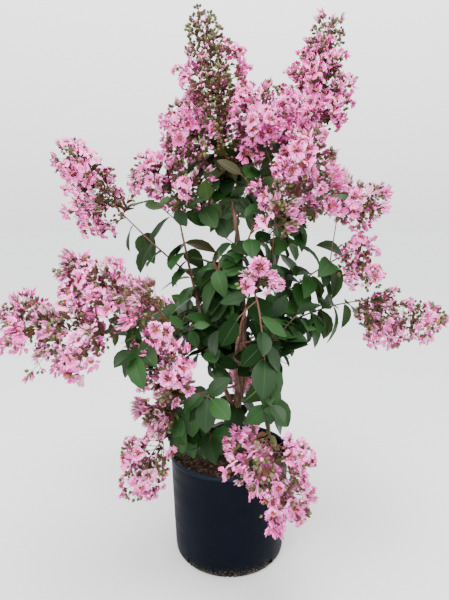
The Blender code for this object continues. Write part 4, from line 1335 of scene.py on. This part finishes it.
def seen_at(point):
    """Where the camera sees a point, as x and z in the upright plane through the trunk."""
    sight = camera.location.lerp(point, camera.location.y / (camera.location.y - point.y))
    return sight.x, sight.z


def seen_in(point, spots):
    x, z = seen_at(point)
    return any(((x - spot_x) / half_width) ** 2 + ((z - spot_z) / half_height) ** 2 < 1
               for spot_x, spot_z, half_width, half_height in spots)


# %% Branches of a panicle
BRANCH_SPACING = 0.0135
BRANCH_STUB = 0.014
BRANCH_LEAN = (math.radians(66), math.radians(40))
LOWER_SPACING = 0.0095
AXIS_STRETCH = (0.04, 0.96)
# Stands for the share of the axis of the lowest branches, which leave the leafy stretch
LOWEST = -1.0


def branch_from(line, share, turn, reach, lean):
    """The end of a branch that leaves a line at a share of its length and leans off its direction."""
    forward = heading(line, share)
    out = sideways(forward, turn)
    return along(line, share) + (forward * math.cos(lean) + out * math.sin(lean)) * reach


def panicle_branches(shoot):
    """The branches as (start, end, share of the axis). The first ones are those of the solids."""
    axis = shoot.axis
    bloom = BLOOMS.get(shoot.name, Bloom())
    count = max(4, round(length_of(axis) / BRANCH_SPACING))
    lean_below, lean_tip = BRANCH_LEAN
    branches = []

    def add_branch(rng, step, turn, scatter, reaches, widen):
        """A branch from the axis. scatter and reaches are the ranges of its turn and its reach."""
        share = spaced(*AXIS_STRETCH, step, count)
        turn += rng.uniform(-scatter, scatter)
        reach = BRANCH_STUB + shoot.spread * (1 - share) ** bloom.fade * rng.uniform(*reaches)
        lean = lean_below + (lean_tip - lean_below) * share
        end = branch_from(axis, share, turn, reach * widen * bloom.trim, lean)
        branches.append((along(axis, share), end + bloom.lean_at(share), share))

    rng = random.Random(shoot.name + "_panicle")
    for i in range(count):
        add_branch(rng, i, GOLDEN_TURN * i, 0.35, (0.8, 1.1), 1.0)
    # Finer ones stand between them, on the other side
    rng = random.Random(shoot.name + "_between")
    for i in range((count - 1) * bloom.finer):
        step = (i + 0.5) / bloom.finer
        add_branch(rng, step, GOLDEN_TURN * i + math.pi, 0.5, (0.55, 0.95), bloom.wide)
    # The lowest ones leave the leafy stretch, from between its last leaves
    if shoot.name in LOWER_STRETCHES:
        leafy = limbs[shoot.name + "_leaves"].points
        first = max(0.0, 1 - LOWER_STRETCHES[shoot.name] / length_of(leafy))
        lowest = max(1, round(length_of(leafy) * (1 - first) / LOWER_SPACING))
        for i in range(lowest):
            share = spaced(first, 0.99, i, lowest)
            turn = GOLDEN_TURN * i + rng.uniform(-0.4, 0.4)
            reach = BRANCH_STUB + shoot.spread * rng.uniform(0.7, 1.0)
            end = branch_from(leafy, share, turn, reach, lean_below) + bloom.lean_at(0)
            branches.append((along(leafy, share), end, LOWEST))
    return branches


def upright_on(direction, turn):
    """A rotation that takes +Z to the direction, after a turn about it."""
    aim = direction.to_track_quat("Z", "Y").to_matrix().to_4x4()
    return aim @ Matrix.Rotation(turn, 4, "Z")


def laid_along(direction, face):
    """A rotation that takes +X to the direction, with +Z as near the face as it can be."""
    x = direction.normalized()
    y = face.cross(x)
    if y.length < 0.05:
        y = Vector((0, 1, 0)).cross(x)
    y.normalize()
    return Matrix((x, y, x.cross(y))).transposed().to_4x4()


# %% Flowers and buds on a stalk
FLOWER_RADII = (0.0145, 0.0190)
BUD_RADII = (0.0026, 0.0036)
FLOWER_ROOM = 0.0168
# How many buds stand out from between the flowers of one stalk
PROUD_BUDS = (0, 1, 1)
# A cyme's stalk, as far as its fork, and the stalk of each flower or bud: radii at their two ends
CYME_RADII = (0.0006, 0.0005)
FLOWER_STALK_RADII = (0.00045, 0.0004)
CYME_FORK = 0.55
# The turn between the stalks of one cyme
CYME_TURN = 2.1
BUD_BESIDE_FLOWERS = 0.35
# How often each of the flower paints is dealt to a fresh panicle and to a fading one
FRESH_WEIGHTS = (5, 5, 2, 2, 0.5, 0)
FADING_WEIGHTS = (1, 3, 2, 5, 3.5, 1.5)


def set_on_stalk(bunch, model, paints, point, facing, size, rng):
    """A copy of a model at a point, facing a way and turned about it by chance."""
    turned = upright_on(facing, rng.uniform(*ANY_TURN))
    bunch.add(model, Matrix.Translation(point) @ turned @ Matrix.Scale(size, 4), paints)


def set_flower(bunch, point, facing, bloom, rng):
    """An open flower, in the paints of a panicle that is as fresh as bloom says."""
    size = rng.uniform(*FLOWER_RADII)
    model = rng.choice(flower_models)
    weights = [fading + (fresh - fading) * bloom.fresh
               for fresh, fading in zip(FRESH_WEIGHTS, FADING_WEIGHTS)]
    paints = dict(rng.choices(FLOWER_PAINTS, weights)[0], calyx=rng.choice(CALYX_PAINTS))
    set_on_stalk(bunch, model, paints, point, facing, size, rng)


def set_withered(bunch, point, facing, rng):
    """A flower that is over: a tuft of tan stamens in a few shrunken petals."""
    paints = dict(rng.choice(WITHERED_PAINTS), calyx=rng.choice(CALYX_PAINTS))
    size = rng.uniform(*FLOWER_RADII)
    set_on_stalk(bunch, withered_flower, paints, point, facing, size, rng)


def set_bud(bunch, point, facing, rng):
    """A round bud, mostly closed and now and then opening."""
    size = rng.uniform(*BUD_RADII)
    model = rng.choices([closed_bud, opening_bud], (6, 1))[0]
    colour, tip = rng.choices(BUD_PAINTS, BUD_WEIGHTS)[0]
    set_on_stalk(bunch, model, {"bud": colour, "bud_tip": tip}, point, facing, size, rng)


def set_cyme(bunch, stalks, root, way, out, length, chance, bloom, rng):
    """A stalk that forks into three: flowers where there is room for them, and buds beside them. The
    flowers turn to out, the way out of the panicle."""
    fork = root + way * length * CYME_FORK
    stalks.add_tube([root, fork], CYME_RADII, 3, "stalk_red")
    is_open = rng.random() < chance
    turn = rng.uniform(*ANY_TURN)
    for i in range(3 if is_open else rng.choice((3, 4, 5))):
        # The first goes straight on, and the others lean out round it
        lean = 0.0 if i == 0 else rng.uniform(0.8, 1.2)
        aside = (way + sideways(way, turn + i * CYME_TURN) * lean).normalized()
        tip = fork + aside * length * (0.45 if i == 0 else 0.6 if is_open else 0.5)
        stalks.add_tube([fork, tip], FLOWER_STALK_RADII, 3, "stalk_red")
        withers = not is_open and rng.random() < bloom.spent
        if is_open and not flower_crowd.near(tip, FLOWER_ROOM):
            flower_crowd.add(tip)
            facing = (aside * 0.6 + out + Vector((0, 0, 0.25))).normalized()
            set_flower(bunch, tip + facing * 0.002, facing, bloom, rng)
        elif withers and not flower_crowd.near(tip, FLOWER_ROOM * 0.6):
            set_withered(bunch, tip, (aside * 0.6 + out).normalized(), rng)
        elif not is_open or rng.random() < BUD_BESIDE_FLOWERS:
            set_bud(bunch, tip, aside, rng)
    for i in range(rng.choice(PROUD_BUDS) if is_open else 0):
        aside = (way + sideways(way, turn + 1.0 + CYME_TURN * i) * 0.7).normalized()
        tip = fork + aside * length * rng.uniform(0.85, 1.2)
        stalks.add_tube([fork, tip], FLOWER_STALK_RADII, 3, "stalk_red")
        set_bud(bunch, tip, aside, rng)


# %% Bracts
def hang_bract(bracts, branch, place, length, rng):
    """A small bronze leaf at a share of a branch's length."""
    forward = heading(branch, place)
    aim = forward + sideways(forward, rng.uniform(*ANY_TURN))
    face = Vector((rng.uniform(-1, 1), rng.uniform(-1, 1), 1.0))
    spot = Matrix.Translation(along(branch, place)) @ laid_along(aim, face) @ Matrix.Scale(length, 4)
    bracts.add(bract_model, spot, {"leaf_top": rng.choice(["bract_olive", "bract_bronze"])})


# %% Grow a panicle
CYME_SPACING = 0.0125
CYME_LENGTHS = (0.015, 0.024)
BRANCH_RADII = [0.0010 - 0.0001 * i for i in range(5)]
BRACT_LENGTHS = (0.012, 0.026)
LOWEST_BRACT_LENGTHS = (0.030, 0.042)


def grow_panicle(shoot, bunch, stalks, bracts):
    """Flowers and buds, their stalks and the bracts of one panicle, each into its own bunch."""
    limb = limbs[shoot.name + "_panicle"]
    stalks.add_tube(limb.points, limb.radii, 6, "stalk_red")
    rng = random.Random(shoot.name + "_flowers")
    bloom = BLOOMS.get(shoot.name, Bloom())
    for start, end, share in panicle_branches(shoot):
        if seen_in(end, OPEN_SPOTS) or rng.random() < bloom.thin:
            continue
        reach = (end - start).length
        knee = start.lerp(end, 0.5) - Vector((0, 0, reach * 0.06))
        branch = bezier(start, knee, end, 5)
        stalks.add_tube(branch, BRANCH_RADII, 4, "stalk_red")
        faces_front = (end - start).normalized().y < FACES_FRONT
        shut = max(bloom.shut, bloom.late) if faces_front else bloom.shut
        state = 0.0 if rng.random() < shut else rng.choice((1, 1, 1, PART_OPEN))
        if share == LOWEST:
            hang_bract(bracts, branch, 0.12, rng.uniform(*LOWEST_BRACT_LENGTHS), rng)
            share = 0.0
            state = 1.0 if rng.random() < bloom.low else 0.0
        if share < bloom.open_to * 0.8:
            chance = state
        else:
            chance = 0.5 * state if share < bloom.open_to else 0.0
        # Fewer flowers and more buds on the front of the dark clusters: partly real buds, partly
        # painted shade
        if seen_in(end, BUD_AND_SHADE_SPOTS) and end.y < start.y + 0.02:
            chance *= BUD_AND_SHADE_SHARE
        outward = (end - start).normalized()
        turn = rng.uniform(*ANY_TURN)
        count = max(1, int(reach * 0.8 / CYME_SPACING))
        for i in range(count):
            place = spaced(0.20, 0.97, i, count)
            forward = heading(branch, place)
            out = sideways(forward, turn)
            turn += GOLDEN_TURN
            length = rng.uniform(*CYME_LENGTHS) * (1.1 - 0.4 * place)
            way = (forward * 0.6 + out).normalized()
            here = chance if place > 0.55 else chance * bloom.heart
            set_cyme(bunch, stalks, along(branch, place), way, outward, length, here, bloom, rng)
        forward = heading(branch, 1.0)
        set_cyme(bunch, stalks, branch[-1], forward, outward, 0.012, chance, bloom, rng)
        for i in range(int(bloom.bracts * (1.2 - share) + rng.random())):
            size = rng.uniform(*BRACT_LENGTHS) * (1.1 - 0.5 * share)
            hang_bract(bracts, branch, rng.uniform(0.05, 0.75), size, rng)
    axis = shoot.axis
    tip_way = heading(axis, 1.0)
    set_cyme(bunch, stalks, axis[-1] - tip_way * 0.006, tip_way, tip_way, 0.010, 0.0, bloom, rng)


REGIONS = {
    "crown": ("crown", "crown_shoulder", "crown_left"),
    "crown_right": ("crown_right", "crown_middle"),
    "shoulder": ("right_high", "front_high", "right_elbow", "right_outer"),
    "left": ("left_high", "left_far", "left_upper", "left_inner"),
    "right": ("right_far", "front_small"),
    "low": ("front_droop", "left_low", "left_small", "front_left", "back_low"),
    "back": ("back_top", "back_left", "back_right"),
}
shoots = {shoot.name: shoot for shoot in SHOOTS}
for region, names in REGIONS.items():
    bunch = Bunch("blossom_" + region)
    stalks = Bunch("flower_stalks_" + region)
    bracts = Bunch("bracts_" + region)
    for name in names:
        grow_panicle(shoots[name], bunch, stalks, bracts)
    bunch.build([name + "_panicle" for name in names], crisp=35)
    stalks.build([])
    if bracts.size:
        bracts.build([])
print(sum(len(cube) for cube in flower_crowd.cubes.values()), "flowers")

# %% [markdown]
# ## Leafy twigs
#
# Side twigs leave each leafy stretch by turns and end in a leaf. Pairs of leaves stand along them,
# each pair a quarter turn from the last, and more hang from the trunk, the stems and the stalks where
# the photograph has them. A leaf that would cross a limb or crowd a flower is left out, as it was in
# the solids, and so is one where the sky or a bare stem shows.

# %% Keep clear of the wood
segment_starts = []
segment_ends = []
segment_radii = []
for limb in limbs.values():
    for i in range(len(limb.points) - 1):
        segment_starts.append(limb.points[i][:])
        segment_ends.append(limb.points[i + 1][:])
        segment_radii.append(limb.radii[i])
segment_starts = np.array(segment_starts)
segment_ends = np.array(segment_ends)
segment_radii = np.array(segment_radii)


def room_from_wood(point):
    """The distance from a point to the bark of the nearest limb."""
    way = segment_ends - segment_starts
    offset = np.array(point) - segment_starts
    share = np.clip((offset * way).sum(axis=1) / (way * way).sum(axis=1), 0, 1)
    nearest = segment_starts + way * share[:, None]
    return float((np.linalg.norm(np.array(point) - nearest, axis=1) - segment_radii).min())


leaf_crowd = Crowd(0.03)

# %% Hang a leaf
# The crown's leaves start at one height, and the shady foot of the shrub ends at the other
CROWN_FOOT = 0.85
SHADY_FOOT = 0.50
# Where the photograph shows deep shade in the heart, as an oval in the trunk's plane
SHADY_SPOTS = [(0.039, 0.470, 0.050, 0.175)]
CROWN_LEAVES_LEFT_OUT = 0.2
LEAF_LENGTH = 0.060
LEAF_DROOP = 0.75
LEAF_FORWARD = 0.45
LEAF_ROOM = 0.009
LEAF_SIZES = (0.45, 1.12)
HANGING_SIZES = (0.75, 1.15)
LEAF_STALK_LENGTH = 0.004
LEAF_STALK_RADII = (0.0009, 0.0006)
# How far a leaf's middle and tip stay from the wood, its middle from a flower, and its tip from z = 0
MIDDLE_FROM_WOOD = 0.004
TIP_FROM_WOOD = 0.003
FLOWER_FROM_LEAF = 0.016
LOWEST_LEAF = 0.02
# What lies past this y is in front of the trunk
TRUNK_FRONT = -0.01
# Where the stems and the front panicle show: low and high x, low and high z, in the trunk's plane
CLEAR_VIEWS = ((0.018, 0.060, 0.515, 0.615), (-0.012, 0.075, 0.330, 0.385), (0.021, 0.222, 0.0, 0.262))
# Where the sky shows between the leaves, given in the same way, with the share of leaves left out
AIRY_VIEWS = ((-0.240, -0.070, 0.720, 0.800, 0.85), (-0.190, -0.070, 0.590, 0.720, 0.65),
              (0.155, 0.230, 0.695, 0.780, 0.85), (-0.055, 0.100, 0.690, 0.830, 0.50),
              (0.120, 0.235, 0.415, 0.480, 0.60), (0.205, 0.270, 0.500, 0.560, 0.70),
              (-0.300, -0.235, 0.400, 0.520, 0.70), (-0.105, -0.045, 0.380, 0.460, 0.60))
# The leafy heart: how far it reaches from the trunk at these heights, to its left and to its right
HEART_MIDDLE = Vector((0.015, 0.5 * (TRUNK_FOOT.y + TRUNK_TIP.y), 0))
HEART_HEIGHTS = (0.28, 0.36, 0.46, 0.56, 0.66, 0.80, 1.00)
HEART_LEFT = (0.190, 0.180, 0.165, 0.150, 0.085, 0.095, 0.120)
HEART_RIGHT = (0.115, 0.125, 0.130, 0.230, 0.235, 0.200, 0.160)


def leaf_face(root, rng):
    """Upper sides look up and away from the trunk, and a little at random."""
    outward = Vector((root.x, root.y, 0)) / (math.hypot(root.x, root.y) + 0.02)
    scatter = Vector((rng.uniform(-1, 1), rng.uniform(-1, 1), rng.uniform(-1, 1)))
    return Vector((0, 0, 1)) + outward * 0.8 + scatter * 0.45


def spoils_view(point):
    """Whether a point in front of the trunk hides one of the clear views from the camera."""
    x, z = seen_at(point)
    return point.y < TRUNK_FRONT and any(low_x < x < high_x and low_z < z < high_z
                                         for low_x, high_x, low_z, high_z in CLEAR_VIEWS)


def in_airy_view(point, hanging, rng):
    """Whether a leaf at a point is one of those left out for the sky to show. Hanging ones stay
    more often."""
    x, z = seen_at(point)
    chance = rng.random() * (3 if hanging else 1)
    return any(low_x < x < high_x and low_z < z < high_z and chance < share
               for low_x, high_x, low_z, high_z, share in AIRY_VIEWS)


def outside_heart(point):
    """Whether a point is past the leafy heart of the shrub."""
    reach = math.hypot(point.x - HEART_MIDDLE.x, point.y - HEART_MIDDLE.y)
    reaches = HEART_LEFT if point.x < HEART_MIDDLE.x else HEART_RIGHT
    return reach > np.interp(point.z, HEART_HEIGHTS, reaches)


def leaf_fits(root, middle, tip, hanging, within, rng):
    """Whether there is room for a leaf, and it hides nothing that shows in the photograph."""
    if room_from_wood(middle) < MIDDLE_FROM_WOOD or room_from_wood(tip) < TIP_FROM_WOOD:
        return False
    if leaf_crowd.near(middle, LEAF_ROOM) or flower_crowd.near(middle, FLOWER_FROM_LEAF):
        return False
    if tip.z < LOWEST_LEAF or spoils_view(middle) or spoils_view(tip) or seen_in(middle, OPEN_SPOTS):
        return False
    if in_airy_view(middle, hanging, rng):
        return False
    if root.z > CROWN_FOOT and rng.random() < CROWN_LEAVES_LEFT_OUT:
        return False
    return not (within and outside_heart(tip))


def hang_leaf(bunch, stalks, root, direction, length, within, models, rng):
    """A leaf on a short stalk, if it fits. within keeps it inside the shrub's heart."""
    x = direction.normalized()
    start = root + x * LEAF_STALK_LENGTH
    middle = start + x * length * 0.5
    tip = start + x * length - Vector((0, 0, 0.2 * length))
    if not leaf_fits(root, middle, tip, models is HANGING_MODELS, within, rng):
        return
    leaf_crowd.add(middle)
    model = rng.choice(models)
    # Darker greens at the shady foot, in the heart and below the crown's flowers are painted shade
    weights = CROWN_SHADE_LEAF_WEIGHTS if root.z > CROWN_FOOT else LEAF_WEIGHTS
    weights = SHADY_FOOT_LEAF_WEIGHTS if root.z < SHADY_FOOT else weights
    weights = SHADE_LEAF_WEIGHTS if seen_in(middle, SHADY_SPOTS) else weights
    paints = rng.choices(LEAF_PAINTS, weights)[0]
    place = Matrix.Translation(start) @ laid_along(x, leaf_face(root, rng)) @ Matrix.Scale(length, 4)
    bunch.add(model, place, paints)
    stalks.add_tube([root, start + x * 0.001], LEAF_STALK_RADII, 3, "stalk_green")


# %% Clothe a twig
def clothe(bunch, stalks, points, shares, spacing, size, within, hanging, rng):
    """Opposite pairs of leaves along a stretch of a twig. Hanging ones set out level and arch over."""
    first_share, last_share = shares
    pairs = max(1, round(length_of(points) * (last_share - first_share) / spacing))
    turn = rng.uniform(0, math.pi)
    models = HANGING_MODELS if hanging else BUSHY_MODELS
    for i in range(pairs):
        share = spaced(first_share, last_share, i, pairs)
        root = along(points, share)
        forward = heading(points, share)
        for side in (0, math.pi):
            out = sideways(forward, turn + side + rng.uniform(-0.3, 0.3))
            droop = Vector((0, 0, -LEAF_DROOP * rng.uniform(0.3, 1.3)))
            length = LEAF_LENGTH * size * rng.uniform(*(HANGING_SIZES if hanging else LEAF_SIZES))
            aim = out + forward * LEAF_FORWARD + droop
            hang_leaf(bunch, stalks, root, aim, length, within, models, rng)
        turn += math.pi / 2


def end_leaf(bunch, stalks, points, size, within, rng):
    """One leaf carries a twig on past its end."""
    aim = heading(points, 1.0) + Vector((0, 0, -0.3))
    hang_leaf(bunch, stalks, points[-1], aim, LEAF_LENGTH * size, within, BUSHY_MODELS, rng)


# Shoots whose leaves hang one by one along a slim stem, with no side twigs
HANGING_SHOOTS = ("left_high", "right_elbow", "right_far")
HANG_SPACING = 0.026
PAIR_SPACING = 0.025
TWIG_PAIR_SPACING = 0.018
CROWN_LEAF_SIZE = 0.65
TWIG_REACHES = (0.045, 0.092)
TWIG_RADII = (0.0014, 0.0013, 0.0012, 0.0010, 0.0008)
# A twig that ends too near the wood or a flower tries other turns
TWIG_TRIES = 5
TWIG_FROM_WOOD = 0.012
TWIG_FROM_FLOWER = 0.03


def grow_leaves(shoot, bunch, stalks):
    """A shoot's leafy stretch: its stem, its side twigs and the leaves on both."""
    limb = limbs[shoot.name + "_leaves"]
    axis = limb.points
    rng = random.Random(shoot.name + "_leaves")
    stalks.add_tube(axis, limb.radii, 8, "stalk_red")
    within = shoot.name.startswith("heart")
    hanging = shoot.name in HANGING_SHOOTS
    # Flower branches take the last stretch below a panicle
    lower = LOWER_STRETCHES.get(shoot.name, 0.0)
    leafy_end = 0.98 - 0.8 * min(1.0, lower / length_of(axis))
    turn = rng.uniform(0, 2 * math.pi)
    count = 0 if hanging else shoot.twigs * 2 + 1
    twigs = []
    for i in range(count):
        share = spaced(0.10, leafy_end, i, count)
        start = along(axis, share)
        forward = heading(axis, share)
        for attempt in range(TWIG_TRIES):
            way = (sideways(forward, turn) + forward * 0.6).normalized()
            turn += GOLDEN_TURN
            reach = rng.uniform(*TWIG_REACHES)
            end = start + way * reach
            bare_end = within and outside_heart(end) or in_airy_view(end, False, rng)
            crowded = room_from_wood(end) <= TWIG_FROM_WOOD or flower_crowd.near(end, TWIG_FROM_FLOWER)
            if not crowded and not bare_end:
                knee = start.lerp(end, 0.5) + Vector((0, 0, reach * 0.08))
                twig = bezier(start, knee, end, 5)
                twigs.append(twig)
                stalks.add_tube(twig, TWIG_RADII, 5, "stalk_red")
                break
    if not shoot.tip:
        end_leaf(bunch, stalks, axis, 1.0, within, rng)
    for twig in twigs:
        end_leaf(bunch, stalks, twig, 0.9, within, rng)
        clothe(bunch, stalks, twig, (0.2, 0.98), TWIG_PAIR_SPACING, 0.95, within, False, rng)
    size = CROWN_LEAF_SIZE if shoot.name == "crown" else 1.05
    spacing = HANG_SPACING if hanging else PAIR_SPACING
    clothe(bunch, stalks, axis, (0.05, leafy_end), spacing, size, within, hanging, rng)


# %% Leaves that hang from the stems themselves
# The region, the limb, the stretch of it that carries them, and their spacing
HANGING_STRETCHES = [
    ("crown", "trunk", (0.88, 0.99), 0.018),
    ("crown", "crown_leaves", (0.02, 0.70), 0.011),
    ("crown", "crown_shoulder_panicle", (0.12, 0.50), 0.014),
    ("crown", "crown_right_leaves", (0.40, 0.95), 0.024),
    ("left", "stem_left", (0.66, 0.97), 0.018),
    ("left", "left_high_bough", (0.25, 0.95), 0.026),
    ("left", "heart_middle_leaves", (0.15, 0.95), 0.020),
    ("left", "trunk", (0.11, 0.25), 0.020),
    ("left", "left_low_bough", (0.30, 0.95), 0.024),
    ("left", "left_low_leaves", (0.20, 0.95), 0.022),
    ("right", "stem_right", (0.55, 0.75), 0.026),
    ("right", "right_far_bough", (0.25, 0.95), 0.020),
    ("right", "right_elbow_leaves", (0.12, 0.80), 0.030),
    ("right", "right_far_leaves", (0.10, 0.60), 0.026),
    ("right", "front_droop_leaves", (0.62, 0.97), 0.018),
]
LEAFY_REGIONS = {
    "crown": ("crown", "crown_right", "crown_left", "right_high", "heart_high"),
    "left": ("left_high", "left_far", "left_low", "front_left", "heart_left", "heart_middle"),
    "right": ("right_far", "right_elbow", "front_droop", "heart_front", "heart_low", "heart_right"),
    "back": ("back_top", "back_left", "back_right", "back_low", "heart_back"),
}
for region, names in LEAFY_REGIONS.items():
    bunch = Bunch("leaves_" + region)
    stalks = Bunch("twigs_" + region)
    for name in names:
        grow_leaves(shoots[name], bunch, stalks)
    for place, name, shares, spacing in HANGING_STRETCHES:
        if place == region:
            rng = random.Random(name + place)
            clothe(bunch, stalks, limbs[name].points, shares, spacing, 1.0, False, True, rng)
    bunch.build([name + "_leaves" for name in names], crisp=60)
    stalks.build([])
print(sum(len(cube) for cube in leaf_crowd.cubes.values()), "leaves")

# %% [markdown]
# ## Clearing up
#
# The materials that only named the models' roles are removed. The dressed plant may stand a little
# proud of its solids, by about 3% of each side and 10 mm.

# %% Remove the role materials
for role in (*ROLES, "chip"):
    bpy.data.materials.remove(bpy.data.materials[role])
